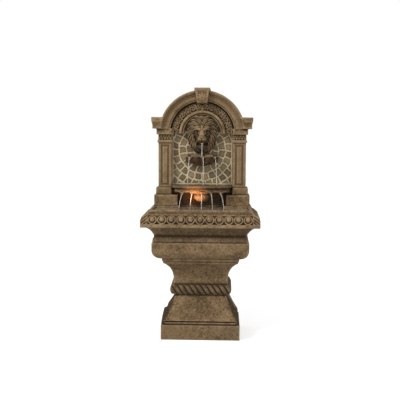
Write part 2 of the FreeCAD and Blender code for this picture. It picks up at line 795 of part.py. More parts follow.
def backsplash():
    solids = []
    hollows = []
    arch_seats = []
    for side in (-1, 1):
        arch_seats.append(box(*wing(side, "shaft_inner - architrave_overhang", f"{ARCH_R} + 1"),
                              f"{BACK} - crown_depth - 1", f"{PANEL_Y} - panel_gap",
                              f"{ARCH_Z} - 1", CORNICE_Z))
        solids.append(box(*wing(side, "block_inner", "block_outer"),
                          f"{BACK} - block_depth", BACK, RIM_Z, BLOCK_TOP))
        solids.append(box(*wing(side, "shaft_inner", "shaft_outer + pilaster_base_overhang"),
                          f"{BACK} - pilaster_base_depth", BACK, BLOCK_TOP, SHAFT_Z))
        solids.append(box(*wing(side, "shaft_inner", "shaft_outer"),
                          f"{BACK} - shaft_depth", BACK, SHAFT_Z, CORNICE_Z))
        for overhang, low, high in (("astragal_overhang", ASTRAGAL_Z, FRIEZE_Z),
                                    ("architrave_overhang", ARCHITRAVE_Z, CORNICE_Z)):
            front = f"{BACK} - shaft_depth - {overhang}"
            solids.append(box(*wing(side, "shaft_inner", f"shaft_outer + {overhang}"),
                              front, BACK, low, high))
            solids.append(box(*wing(side, f"shaft_inner - {overhang}", "shaft_inner + 1"),
                              front, f"{PANEL_Y} - panel_gap", low, high))
        hollows.append(sunk_frame(side))
        hollows.append(rod("Z", "bolt_radius", "backsplash_wall + 2", mirrored(side, "bolt_offset"), BOLT_Y,
                           f"{RIM_Z} - 1"))
        hollows.append(rod("Y", "fixing_radius", "panel_thickness + backsplash_wall + 2",
                           mirrored(side, "bowl_screw_offset"), f"{PANEL_Y} - 1", BOWL_SCREW_Z))
        hollows.append(rod("Y", "fixing_radius", "backsplash_wall + 2", mirrored(side, "cup_screw_offset"),
                           f"{PANEL_Y} + panel_thickness - 1", CUP_SCREW_Z))
    cornice_rise = "(cornice_height - cornice_foot_height - cornice_band_height)"
    cornice = moulded_block("cornice", "(shaft_outer + cornice_overhang)",
                            f"({BACK} - shaft_depth - cornice_overhang)", BACK, [
        ("cornice_overhang - cornice_foot_overhang", CORNICE_Z, None),
        ("cornice_overhang - cornice_foot_overhang", f"{CORNICE_Z} + cornice_foot_height",
         (-1, tangent_radius(cornice_rise, "(cornice_overhang - cornice_foot_overhang)"))),
        ("0", f"{CORNICE_TOP} - cornice_band_height", None),
        ("0", CORNICE_TOP, None),
    ])
    ears = cut(cornice, rod("Y", CROWN_LIP_R, "total_depth", "0", "0", ARCH_Z))
    core = arched_body("core", "shaft_inner + 1", BLOCK_TOP, ARCH_Z, "arch_opening_radius + 1",
                       f"{PANEL_Y} + panel_thickness", BACK)
    apron = box("-shaft_inner - 1", "shaft_inner + 1", PANEL_Y, BACK, RIM_Z, BOWL_TOP)
    facade = fuse(core, apron, ears, cut(arch_ring(), *arch_seats), keystone(), *solids)
    hollows.append(arched_body("rear_hollow", "shaft_outer - backsplash_wall", f"{RIM_Z} + backsplash_wall",
                               ARCH_Z, f"{ARCH_R} - backsplash_wall", WALL_Y, f"{BACK} + 1"))
    hollows.append(box("-deck_notch_half_width + backsplash_wall", "deck_notch_half_width - backsplash_wall",
                       WALL_Y, f"{BACK} - backsplash_wall",
                       f"{RIM_Z} - 1", f"{RIM_Z} + backsplash_wall + 1"))
    hollows.append(rod("Y", "pipe_radius", "panel_depth", "0", PANEL_Y, SPOUT_Z))
    keep("backsplash", cut(facade, *hollows))


def mosaic_panel():
    slab = arched_body("mosaic", "shaft_inner - panel_gap", BOWL_TOP, f"{ARCH_Z} - panel_gap",
                       "arch_opening_radius - panel_gap", PANEL_Y, f"{PANEL_Y} + panel_thickness")
    holes = [rod("Y", "pipe_radius", "panel_thickness + 2", "0", f"{PANEL_Y} - 1", SPOUT_Z)]
    for side in (-1, 1):
        holes.append(rod("Y", "fixing_radius", "panel_thickness + 2", mirrored(side, "cup_screw_offset"),
                         f"{PANEL_Y} - 1", CUP_SCREW_Z))
    keep("mosaic_panel", cut(slab, *holes))


def carved(x, forward, up, width, depth, height):
    """Swelling of the mask, in shares of its width, depth and height about its middle."""
    return lobe(f"mask_width * {x}", f"{PANEL_Y} - mask_depth * {forward}", f"{MASK_Z} + mask_height * {up}",
                f"mask_width * {width}", f"mask_depth * {depth}", f"mask_height * {height}")


# Swellings of the face: place across, forward and up, then reach the same ways, as shares of the mask.
FACE_MIDDLE = (
    (0, 0, 0.06, 0.49, 0.45, 0.44),
    (0, 0, -0.25, 0.33, 0.42, 0.25),
    (0, 0.2, 0.06, 0.3, 0.5, 0.29),
    (0, 0.62, 0.06, 0.09, 0.24, 0.16),
    (0, 0.72, -0.06, 0.1, 0.28, 0.06),
    (0, 0.4, -0.33, 0.15, 0.3, 0.08),
)
FACE_SIDES = (
    (0.12, 0.52, -0.13, 0.15, 0.36, 0.1),
    (0.15, 0.5, 0.17, 0.14, 0.25, 0.06),
    (0.06, 0.46, 0.31, 0.07, 0.22, 0.07),
    (0.24, 0.42, 0, 0.1, 0.25, 0.12),
)
MOUTH = (0, 0.75, -0.245, 0.1, 0.45, 0.045)
# Curls of the mane on the right half: place across, forward and up, then the radius, as shares of the mask.
MANE_CURLS = (
    (0.2, 0.16, 0.385, 0.1),
    (0.335, 0.14, 0.265, 0.105),
    (0.405, 0.13, 0.1, 0.09),
    (0.4, 0.13, -0.075, 0.095),
    (0.315, 0.15, -0.235, 0.1),
    (0.185, 0.18, -0.375, 0.1),
)


def lion_mask():
    swellings = [carved(*shares) for shares in FACE_MIDDLE]
    for side in (-1, 1):
        for across, *shares in FACE_SIDES:
            swellings.append(carved(across * side, *shares))
        for across, forward, up, radius in MANE_CURLS:
            swellings.append(ball(f"mask_width * {radius}", f"mask_width * {across * side}",
                                  f"{PANEL_Y} - mask_depth * {forward}", f"{MASK_Z} + mask_height * {up}"))
    room = arched_body("mask_room", "shaft_inner - panel_gap", f"{MASK_Z} - mask_height", ARCH_Z,
                       "arch_opening_radius - panel_gap", f"{PANEL_Y} - 2 * mask_depth", PANEL_Y)
    pipe_end = f"{PANEL_Y} - pipe_setback"
    seat = rod("Y", "pipe_collar_radius", "mask_depth", "0", f"{pipe_end} - mask_depth", SPOUT_Z)
    bore = rod("Y", "pipe_radius", "mask_depth", "0", f"{pipe_end} - 1", SPOUT_Z)
    keep("lion_mask", cut(common(fuse(*swellings), room), carved(*MOUTH), seat, bore))


def cup_lobes(thinner):
    """The five round lobes of the cup, full size or thinner by its wall."""
    lobes = [ball(f"cup_core_radius - {thinner}", "0", f"{PANEL_Y} - cup_side_reach", CUP_CORE_Z)]
    for side in (-1, 1):
        lobes.append(ball(f"cup_front_radius - {thinner}", mirrored(side, "cup_front_spread"),
                          f"{PANEL_Y} - cup_front_reach", CUP_CORE_Z))
        lobes.append(ball(f"cup_side_radius - {thinner}", mirrored(side, "cup_side_spread"),
                          f"{PANEL_Y} - cup_side_reach", CUP_CORE_Z))
    return fuse(*lobes)


def shell_cup():
    reach = "(cup_side_spread + cup_side_radius)"
    width = (f"-2 * {reach}", f"2 * {reach}")
    front = f"{PANEL_Y} - 2 * {reach}"
    low = f"{CUP_TOP} - 2 * {reach}"
    high = f"{CUP_TOP} + 2 * {reach}"
    above = box(*width, front, f"{PANEL_Y} + {reach}", CUP_TOP, high)
    behind = box(*width, PANEL_Y, f"{PANEL_Y} + 2 * {reach}", low, high)
    room = box(*width, front, f"{PANEL_Y} - cup_back", low, f"{CUP_TOP} + 1")
    tools = [above, behind, common(cup_lobes("cup_wall"), room)]
    tools.append(rod("Y", "cup_notch_radius", reach, "0", f"{PANEL_Y} - 2 * cup_front_radius", CUP_TOP))
    for side in (-1, 1):
        x = mirrored(side, "(cup_side_spread + cup_wall)")
        tools.append(rod("Y", "cup_notch_radius", f"{reach} - cup_side_reach - cup_back", x,
                         f"{PANEL_Y} - {reach}", CUP_TOP))
        tools.append(rod("Y", "fixing_radius", "fixing_bite", mirrored(side, "cup_screw_offset"),
                         f"{PANEL_Y} - cup_back - 1", CUP_SCREW_Z))
    keep("shell_cup", cut(cup_lobes("0"), *tools))


def rounded_front(body, half, reach, corner, level, depth, taken_out=False, back="0"):
    """Shelf with rounded front corners, from a level downward."""
    wall = f"({PANEL_Y} - ({back}))"
    front = f"({PANEL_Y} - ({reach}))"
    turn = (1, corner)
    sketch = outline(body, "XY_Plane", [
        (f"-({half}) + ({corner})", front, None),
        (f"({half}) - ({corner})", front, turn),
        (half, f"{front} + ({corner})", None),
        (half, wall, None),
        (f"-({half})", wall, None),
        (f"-({half})", f"{front} + ({corner})", turn),
    ], normal_offset=f"({level}) - ({depth})")
    item = pad(body, sketch, depth, taken_out=taken_out)
    if taken_out:
        item.Reversed = True
    return item


# Way a lip of the bowl points: outward to the sides for each step from the middle, then forward and down.
LIP_FAN = 0.22
LIP_REACH = 0.75
LIP_FALL = 0.95


def spill_bowl():
    body = new_body("bowl_casting")
    rounded_front(body, "bowl_half_width", "bowl_reach", "bowl_corner", BOWL_TOP, "bowl_rim_height")
    band_top = f"({BOWL_TOP} - bowl_rim_height)"
    rounded_front(body, "(bowl_half_width - bowl_band_inset)", "(bowl_reach - bowl_band_inset)",
                  "(bowl_corner - bowl_band_inset)", band_top, "bowl_band_height")
    under = f"({band_top} - bowl_band_height)"
    neck = f"({under} - corbel_neck_height)"
    tip = f"({neck} - corbel_bulb_height)"
    bulb_run = "(corbel_neck_radius - corbel_tip_radius)"
    corbel = outline(body, "YZ_Plane", [
        ("0", f"{under} + 1", None),
        ("0", tip, None),
        ("-corbel_tip_radius", tip, (-1, sag_radius("corbel_bulb_height", bulb_run, "corbel_bulb_swell"))),
        ("-corbel_neck_radius", neck,
         (1, tangent_radius("(corbel_radius - corbel_neck_radius)", "corbel_neck_height"))),
        ("-corbel_radius", under, None),
        ("-corbel_radius", f"{under} + 1", None),
    ], shift=PANEL_Y)
    spin(body, corbel, 180, symmetric=True)
    pool_inset = "(bowl_band_inset + bowl_wall)"
    rounded_front(body, f"(bowl_half_width - {pool_inset})", f"(bowl_reach - {pool_inset})",
                  f"(bowl_corner - {pool_inset})", f"{BOWL_TOP} + 1", "bowl_pool_depth + 1",
                  taken_out=True, back="bowl_wall")
    lips = []
    bores = []
    for step in range(-2, 3):
        start = (f"lip_spread * {step}", f"({PANEL_Y} - bowl_reach + {pool_inset} + lip_radius)",
                 f"({BOWL_TOP} - bowl_pool_depth + lip_bore)")
        lips.append(rod("Z", "lip_radius", "lip_length", *start))
        bores.append(rod("Z", "lip_bore", "lip_length + lip_bore", *start))
        for item in (lips[-1], bores[-1]):
            item.Placement.Rotation = FreeCAD.Rotation(AXES["Z"], VEC(LIP_FAN * step, -LIP_REACH, -LIP_FALL))
    for side in (-1, 1):
        bores.append(rod("Y", "fixing_radius", "fixing_bite + 1", mirrored(side, "bowl_screw_offset"),
                         f"{PANEL_Y} - fixing_bite", BOWL_SCREW_Z))
    pool = box(f"-bowl_half_width + {pool_inset}", f"bowl_half_width - {pool_inset}",
               f"{PANEL_Y} - bowl_reach + {pool_inset}", f"{PANEL_Y} - bowl_wall",
               f"{BOWL_TOP} - bowl_pool_depth", f"{BOWL_TOP} + lip_length")
    trimmed = cut(fuse(*lips), pool)
    keep("spill_bowl", cut(fuse(body, trimmed), *bores))


def spout():
    front = f"({PANEL_Y} - pipe_setback)"
    pipe = fuse(
        rod("Y", "pipe_radius", f"{PIPE_BACK} - {front}", "0", front, SPOUT_Z),
        rod("Y", "pipe_collar_radius", "pipe_collar_length", "0", f"{front} - pipe_collar_length", SPOUT_Z),
    )
    through = rod("Y", "pipe_bore", f"{PIPE_BACK} - {front} + 2 * pipe_collar_length", "0",
                  f"{front} - pipe_collar_length - 1", SPOUT_Z)
    keep("spout_pipe", cut(pipe, through))
    keep("spout_washer", cut(rod("Y", "washer_radius", "washer_thickness", "0", WALL_Y, SPOUT_Z),
                             rod("Y", "pipe_radius", "washer_thickness + 2", "0", f"{WALL_Y} - 1", SPOUT_Z)))
    nut_y = f"({WALL_Y} + washer_thickness)"
    keep("spout_nut", cut(hexagon("Y", "nut_flats", "nut_length", "0", nut_y, SPOUT_Z),
                          rod("Y", "pipe_radius", "nut_length + 2", "0", f"{nut_y} - 1", SPOUT_Z)))
    barb_z = f"({SPOUT_Z} - elbow_drop - barb_length)"
    elbow = fuse(
        rod("Y", "elbow_radius", "elbow_run", "0", SOCKET_Y, SPOUT_Z),
        ball("elbow_radius", "0", HOSE_Y, SPOUT_Z),
        rod("Z", "elbow_radius", "elbow_drop", "0", HOSE_Y, f"{SPOUT_Z} - elbow_drop"),
        rod("Z", "hose_bore", "barb_length + 1", "0", HOSE_Y, barb_z),
    )
    keep("spout_elbow", cut(
        elbow,
        rod("Y", "pipe_radius", f"{PIPE_BACK} - {SOCKET_Y} + 1", "0", f"{SOCKET_Y} - 1", SPOUT_Z),
        rod("Y", "pipe_bore", "elbow_run", "0", SOCKET_Y, SPOUT_Z),
        rod("Z", "pipe_bore", "elbow_drop + barb_length + 1", "0", HOSE_Y, f"{barb_z} - 1"),
        ball("pipe_bore", "0", HOSE_Y, SPOUT_Z),
    ))


def hose():
    """Flexible hose from the pump up behind the panel, with two tangent bends."""
    low = VEC(0, value(PUMP_Y), value(HOSE_LOW))
    high = VEC(0, value(HOSE_Y), value(HOSE_HIGH))
    radius = value("hose_bend_radius")
    shift = high.y - low.y
    turn = math.acos(max(1 - shift / (2 * radius), 0))
    bend = VEC(0, low.y, value(f"{PUMP_TOP} + hose_bend_start"))
    run = max((shift - 2 * radius * (1 - math.cos(turn))) / math.sin(turn), 0)
    centre = bend + VEC(0, radius, 0)
    middle = centre + VEC(0, -radius * math.cos(turn / 2), radius * math.sin(turn / 2))
    first = centre + VEC(0, -radius * math.cos(turn), radius * math.sin(turn))
    second = first + VEC(0, math.sin(turn), math.cos(turn)) * run
    centre = second + VEC(0, -radius * math.cos(turn), radius * math.sin(turn))
    crest = centre + VEC(0, radius * math.cos(turn / 2), -radius * math.sin(turn / 2))
    upright = centre + VEC(0, radius, 0)
    edges = [Part.LineSegment(low, bend).toShape(), Part.Arc(bend, middle, first).toShape()]
    if run > 0.01:
        edges.append(Part.LineSegment(first, second).toShape())
    edges.append(Part.Arc(second, crest, upright).toShape())
    edges.append(Part.LineSegment(upright, high).toShape())
    route = Part.Wire(edges)
    solids = []
    for size in ("hose_radius", "hose_bore"):
        ring = Part.Wire(Part.makeCircle(value(size), low, VEC(0, 0, 1)))
        solids.append(route.makePipeShell([ring], True, True))
    item = DOC.addObject("Part::Feature", "hose")
    item.Shape = solids[0].cut(solids[1])
    keep("delivery_hose", item)


def hose_holders():
    clamps = []
    outer = "(hose_radius + clamp_thickness)"
    places = (
        (PUMP_Y, f"({HOSE_LOW} + clamp_margin)"),
        (HOSE_Y, f"({HOSE_HIGH} - clamp_width - clamp_margin)"),
    )
    for y, z in places:
        band = rod("Z", outer, "clamp_width", "0", y, z)
        lug = box(f"{outer} - 1", f"{outer} + clamp_lug_length",
                  f"{y} - clamp_lug_width / 2", f"{y} + clamp_lug_width / 2",
                  f"{z} + clamp_thickness", f"{z} + clamp_width - clamp_thickness")
        clamps.append(cut(fuse(band, lug), rod("Z", "hose_radius", "clamp_width + 2", "0", y, f"{z} - 1")))
    keep("hose_clamps", group(*clamps))
    clips = []
    for rise in ("clip_lower_rise", "clip_upper_rise"):
        z = f"({RIM_Z} + {rise})"
        ring = rod("Z", "hose_radius + clip_thickness", "clip_width", "0", HOSE_Y, z)
        stem = box("-clip_width / 2", "clip_width / 2", WALL_Y, HOSE_Y, z, f"{z} + clip_width")
        base = box("-clip_width", "clip_width", WALL_Y, f"{WALL_Y} + clip_thickness", z, f"{z} + clip_width")
        clips.append(cut(fuse(ring, stem, base),
                         rod("Z", "hose_radius", "clip_width + 2", "0", HOSE_Y, f"{z} - 1")))
    keep("hose_clips", group(*clips))


def pump():
    half = "pump_width / 2"
    block = box(f"-{half}", half, MOTOR_Y, MOTOR_BACK, PUMP_Z, PUMP_TOP)
    well = rod("Y", "rotor_radius + rotor_gap", WELL_DEPTH, "0", MOTOR_Y, AXIS_Z)
    seat = rod("Y", "bush_radius", "bush_length + 1", "0", f"{MOTOR_Y} + {WELL_DEPTH} - 1", AXIS_Z)
    seal_ring = cut(rod("Y", "seal_radius", "seal_width", "0", MOTOR_Y, AXIS_Z),
                    rod("Y", "seal_radius - seal_width", "seal_width + 2", "0", f"{MOTOR_Y} - 1", AXIS_Z))
    keep("pump_seal", seal_ring)
    keep("pump_housing", cut(block, well, seat, seal_ring))

    volute = box(f"-{half}", half, VOLUTE_Y, MOTOR_Y, PUMP_Z, PUMP_TOP)
    outlet = rod("Z", "hose_bore", "pump_outlet_rise + 1", "0", PUMP_Y, f"{PUMP_TOP} - 1")
    nose = rod("Y", "boss_radius", "boss_length + 1", "0", f"{VOLUTE_Y} - boss_length", AXIS_Z)
    chamber = rod("Y", "blade_radius + chamber_gap", "volute_length - volute_front + 1", "0",
                  f"{VOLUTE_Y} + volute_front", AXIS_Z)
    riser = rod("Z", "pipe_bore", "pump_height / 2 + pump_outlet_rise + 2", "0", PUMP_Y, AXIS_Z)
    front_seat = rod("Y", "bush_radius", "bush_length + 1", "0",
                     f"{VOLUTE_Y} + volute_front - bush_length", AXIS_Z)
    intakes = [rod("Y", "intake_radius", "volute_front + 2", x, f"{VOLUTE_Y} - 1", z) for x, z in INTAKES]
    keep("pump_volute", cut(fuse(volute, outlet, nose), chamber, riser, front_seat, *intakes))

    dial_y = f"({VOLUTE_Y} - dial_thickness - side_gap)"
    disc = rod("Y", "dial_radius", "dial_thickness", "0", dial_y, AXIS_Z)
    tab = box("-dial_tab / 2", "dial_tab / 2", dial_y, f"{dial_y} + dial_thickness", AXIS_Z,
              f"{AXIS_Z} + dial_radius + dial_tab")
    ports = [rod("Y", "intake_radius", "dial_thickness + 2", x, f"{dial_y} - 1", z) for x, z in INTAKES]
    centre = rod("Y", "boss_radius + pivot_gap", "dial_thickness + 2", "0", f"{dial_y} - 1", AXIS_Z)
    keep("flow_dial", cut(fuse(disc, tab), centre, *ports))

    front = f"({VOLUTE_Y} - strainer_length)"
    shell = cut(
        box(f"-{half}", half, front, f"{VOLUTE_Y} - side_gap", PUMP_Z, PUMP_TOP),
        box(f"-{half} + strainer_wall", f"{half} - strainer_wall",
            f"{front} + strainer_wall", f"{VOLUTE_Y} + 1",
            f"{PUMP_Z} + strainer_wall", f"{PUMP_TOP} - strainer_wall"),
    )
    slots = []
    for step in range(-3, 4):
        x = f"strainer_slot * {2 * step}"
        slots.append(box(f"{x} - strainer_slot / 2", f"{x} + strainer_slot / 2",
                         f"{front} - 1", f"{front} + strainer_wall + 1",
                         f"{PUMP_Z} + strainer_margin", f"{PUMP_TOP} - strainer_margin"))
    keep("pump_strainer", cut(shell, *slots))

    rear_bush = f"{MOTOR_Y} + {WELL_DEPTH}"
    front_bush = f"{VOLUTE_Y} + volute_front - bush_length"
    bushes = []
    for y in (rear_bush, front_bush):
        bushes.append(cut(rod("Y", "bush_radius", "bush_length", "0", y, AXIS_Z),
                          rod("Y", "shaft_radius", "bush_length + 2", "0", f"{y} - 1", AXIS_Z)))
    keep("pump_bushes", group(*bushes))
    keep("pump_shaft", rod("Y", "shaft_radius", f"{rear_bush} + bush_length - ({front_bush})",
                           "0", front_bush, AXIS_Z))

    hub_y = f"({MOTOR_Y} - rotor_gap - blade_length)"
    magnet_y = f"({MOTOR_Y} + rotor_gap)"
    parts = [
        rod("Y", "rotor_radius", "rotor_length", "0", magnet_y, AXIS_Z),
        rod("Y", "bush_radius", f"{magnet_y} - {hub_y} + 1", "0", hub_y, AXIS_Z),
    ]
    for step in range(3):
        blade = box("-blade_radius", "blade_radius", hub_y, f"{hub_y} + blade_length",
                    f"{AXIS_Z} - blade_thickness / 2", f"{AXIS_Z} + blade_thickness / 2")
        turned = DOC.addObject("Part::Compound", "blade")
        turned.Links = [blade]
        turned.Placement = FreeCAD.Placement(VEC(0, 0, 0), FreeCAD.Rotation(VEC(0, 1, 0), 60 * step),
                                             VEC(0, 0, value(AXIS_Z)))
        parts.append(turned)
    bore = rod("Y", "shaft_radius + running_gap", "rotor_length + blade_length + 4 * rotor_gap", "0",
               f"{hub_y} - 1", AXIS_Z)
    keep("impeller", cut(fuse(*parts), bore))

    feet = []
    for side in (-1, 1):
        for y in (PUMP_Y, f"{MOTOR_BACK} - 2 * foot_pad_radius"):
            feet.append(cone("foot_pad_radius", "foot_pad_top_radius", "foot_pad_height",
                             mirrored(side, "pump_width / 2 - foot_pad_radius - 1"), y, FLOOR_Z))
    keep("pump_feet", group(*feet))
    keep("pump_cord_gland", fuse(
        rod("Y", "gland_radius", "gland_length / 3", "0", MOTOR_BACK, f"{AXIS_Z} + gland_rise"),
        rod("Y", "gland_nose_radius", "gland_length", "0", MOTOR_BACK, f"{AXIS_Z} + gland_rise"),
    ))


def beside_lamp(side, near, far):
    """Y limits of a piece between two distances from the axis of the lamp, in front (-1) or behind (+1)."""
    if side > 0:
        return f"({LAMP_Y} + {near})", f"({LAMP_Y} + {far})"
    return f"({LAMP_Y} - {far})", f"({LAMP_Y} - {near})"


def cross_rod(radius, side, near, far, z):
    """Round bar across the lamp, between two distances from its axis."""
    start, end = beside_lamp(side, near, far)
    return rod("Y", radius, f"{end} - {start}", LAMP_X, start, z)


def lamp():
    top = f"({DECK_Z} - lamp_drop)"
    low = f"({top} - lamp_length)"
    pivot_z = f"({low} + pivot_rise)"
    inner = "(lamp_radius - lamp_wall)"
    arm_gap = "(bezel_radius + yoke_gap)"

    can = [rod("Z", "lamp_radius", "lamp_length", LAMP_X, LAMP_Y, low)]
    for side in (-1, 1):
        can.append(cross_rod("pivot_boss", side, "0", f"({arm_gap} - side_gap)", pivot_z))
    board_z = f"({top} - board_drop)"
    hollow = [
        rod("Z", inner, "board_drop + 1", LAMP_X, LAMP_Y, board_z),
        rod("Z", f"{inner} - lamp_shoulder", "lamp_length - board_drop - lamp_floor + 1", LAMP_X, LAMP_Y,
            f"{low} + lamp_floor"),
        rod("Y", "pivot_radius", f"2 * {arm_gap}", LAMP_X, f"{LAMP_Y} - {arm_gap}", pivot_z),
    ]
    keep("lamp_body", cut(fuse(*can), *hollow))
    board = rod("Z", inner, "board_thickness", LAMP_X, LAMP_Y, board_z)
    chips = []
    for step in range(6):
        angle = math.radians(60 * step)
        x = f"{LAMP_X} + chip_circle * {math.cos(angle):.4f}"
        y = f"{LAMP_Y} + chip_circle * {math.sin(angle):.4f}"
        chips.append(box(f"{x} - chip_half_width", f"{x} + chip_half_width",
                         f"{y} - chip_half_width", f"{y} + chip_half_width",
                         board_z, f"{board_z} + board_thickness + chip_height"))
    keep("lamp_board", fuse(board, *chips))
    keep("lamp_seal", cut(rod("Z", "lamp_radius", "seal_width", LAMP_X, LAMP_Y, top),
                          rod("Z", inner, "seal_width + 2", LAMP_X, LAMP_Y, f"{top} - 1")))
    lens_z = f"({top} + seal_width)"
    lens_top = f"({lens_z} + lens_thickness)"
    keep("lamp_lens", rod("Z", "lamp_radius", "lens_thickness", LAMP_X, LAMP_Y, lens_z))
    bezel_low = f"({top} - bezel_skirt)"
    keep("lamp_bezel", cut(
        rod("Z", "bezel_radius", f"{lens_top} + bezel_lip - {bezel_low}", LAMP_X, LAMP_Y, bezel_low),
        rod("Z", "lamp_radius", f"{lens_top} - {bezel_low} + 1", LAMP_X, LAMP_Y, f"{bezel_low} - 1"),
        rod("Z", inner, f"{lens_top} + 2 * bezel_lip - {bezel_low}", LAMP_X, LAMP_Y, bezel_low),
    ))
    keep("lamp_cord_gland", fuse(
        rod("Z", "gland_radius", "gland_length / 3", LAMP_X, LAMP_Y, f"{low} - gland_length / 3"),
        rod("Z", "gland_nose_radius", "gland_length", LAMP_X, LAMP_Y, f"{low} - gland_length"),
    ))

    foot_end = "(-deck_notch_half_width - yoke_foot)"
    arm_face = f"({arm_gap} + yoke_thickness)"
    head_near = f"({arm_face} + side_gap)"
    head_far = f"({head_near} + screw_head_height)"
    shank_near = f"({inner} - lamp_shoulder)"
    arms = []
    holes = []
    screws = []
    for side in (-1, 1):
        y0, y1 = beside_lamp(side, arm_gap, arm_face)
        arms.append(box(foot_end, LAMP_X, y0, y1,
                        f"{pivot_z} - yoke_arm_height / 2", f"{pivot_z} + yoke_arm_height / 2"))
        arms.append(rod("Y", "yoke_arm_height / 2", "yoke_thickness", LAMP_X, y0, pivot_z))
        arms.append(box(foot_end, "-deck_notch_half_width", y0, y1, pivot_z, DECK_Z))
        holes.append(rod("Y", "pivot_radius + pivot_gap", "yoke_thickness + 2", LAMP_X, f"{y0} - 1", pivot_z))
        screws.append(fuse(
            cross_rod("screw_head_radius", side, head_near, head_far, pivot_z),
            cross_rod("pivot_radius", side, shank_near, head_far, pivot_z),
        ))
    plate = box(foot_end, "-deck_notch_half_width", f"{LAMP_Y} - {arm_face}", f"{LAMP_Y} + {arm_face}",
                f"{DECK_Z} - yoke_thickness", DECK_Z)
    fixing = []
    for y in YOKE_SCREWS:
        holes.append(rod("Z", "yoke_screw_radius", "yoke_thickness + 2", YOKE_SCREW_X, y,
                         f"{DECK_Z} - yoke_thickness - 1"))
        head_z = f"({DECK_Z} - yoke_thickness - screw_head_height)"
        fixing.append(fuse(
            rod("Z", "screw_head_radius", "screw_head_height", YOKE_SCREW_X, y, head_z),
            rod("Z", "yoke_screw_radius", "yoke_screw_length + screw_head_height", YOKE_SCREW_X, y, head_z),
        ))
    keep("lamp_yoke", cut(fuse(plate, *arms), *holes))
    keep("lamp_pivot_screws", group(*screws))
    keep("yoke_screws", group(*fixing))


def stopper():
    plug = fuse(
        rod("Z", "stopper_flange", "stopper_flange_height", "stopper_offset", STOPPER_Y,
            f"{FLOOR_Z} + stopper_gap"),
        rod("Z", "stopper_radius - stopper_gap", "basin_floor + stopper_gap + 1", "stopper_offset", STOPPER_Y,
            BASIN_Z),
    )
    holes = []
    for side in (-1, 1):
        holes.append(rod("Z", "cord_hole_radius", "basin_floor + stopper_flange_height + 4",
                         f"stopper_offset + {side} * stopper_radius / 2", STOPPER_Y, f"{BASIN_Z} - 1"))
    keep("cord_stopper", cut(plug, *holes))


def fasteners():
    bolts = []
    washers = []
    nuts = []
    top = f"({RIM_Z} + backsplash_wall)"
    for side in (-1, 1):
        x = mirrored(side, "bolt_offset")
        head_z = f"({top} + bolt_washer_thickness)"
        bolts.append(fuse(
            hexagon("Z", "bolt_head_flats", "bolt_head_height", x, BOLT_Y, head_z),
            rod("Z", "bolt_radius", "bolt_length + 1", x, BOLT_Y, f"{head_z} - bolt_length"),
        ))
        low_washer = f"({DECK_Z} - bolt_washer_thickness)"
        for z in (top, low_washer):
            washers.append(cut(rod("Z", "bolt_washer_radius", "bolt_washer_thickness", x, BOLT_Y, z),
                               rod("Z", "bolt_radius", "bolt_washer_thickness + 2", x, BOLT_Y, f"{z} - 1")))
        nut_z = f"({low_washer} - wing_nut_height)"
        ears = box(f"{x} - wing_span", f"{x} + wing_span",
                   f"{BOLT_Y} - wing_thickness / 2", f"{BOLT_Y} + wing_thickness / 2",
                   f"{low_washer} - wing_height", f"{low_washer} - wing_drop")
        nuts.append(cut(fuse(rod("Z", "wing_nut_radius", "wing_nut_height", x, BOLT_Y, nut_z), ears),
                        rod("Z", "bolt_radius", "wing_nut_height + wing_height + 2", x, BOLT_Y,
                            f"{nut_z} - wing_height")))
    keep("backsplash_bolts", group(*bolts))
    keep("bolt_washers", group(*washers))
    keep("wing_nuts", group(*nuts))

    for name, offset, z, tip in (
        ("bowl_screws", "bowl_screw_offset", BOWL_SCREW_Z, f"{PANEL_Y} - fixing_bite"),
        ("cup_screws", "cup_screw_offset", CUP_SCREW_Z, f"{PANEL_Y} - cup_back + 1"),
    ):
        screws = []
        for side in (-1, 1):
            x = mirrored(side, offset)
            screws.append(fuse(
                rod("Y", "screw_head_radius", "screw_head_height", x, WALL_Y, z),
                rod("Y", "fixing_radius", f"{WALL_Y} - ({tip}) + 1", x, tip, z),
            ))
        keep(name, group(*screws))


pedestal()
basin()
backsplash()
mosaic_panel()
lion_mask()
shell_cup()
spill_bowl()
spout()
hose()
hose_holders()
pump()
lamp()
stopper()
fasteners()

DOC.recompute()
faults = [item.Name for item in DOC.Objects if "Invalid" in item.State or "Error" in item.State]
if faults:
    raise RuntimeError("not rebuilt: " + ", ".join(faults))
for name, item in NODES.items():
    if item.Shape.isNull() or not item.Shape.isValid() or not item.Shape.Solids:
        raise RuntimeError("bad shape: " + name)

os.makedirs("parts", exist_ok=True)
for name, item in NODES.items():
    item.Shape.exportStep(f"parts/{name}.step")
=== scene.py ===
import functools
import json
import math

import bmesh
import bpy
import numpy as np
from mathutils import Euler, Matrix, Vector
from mathutils.bvhtree import BVHTree


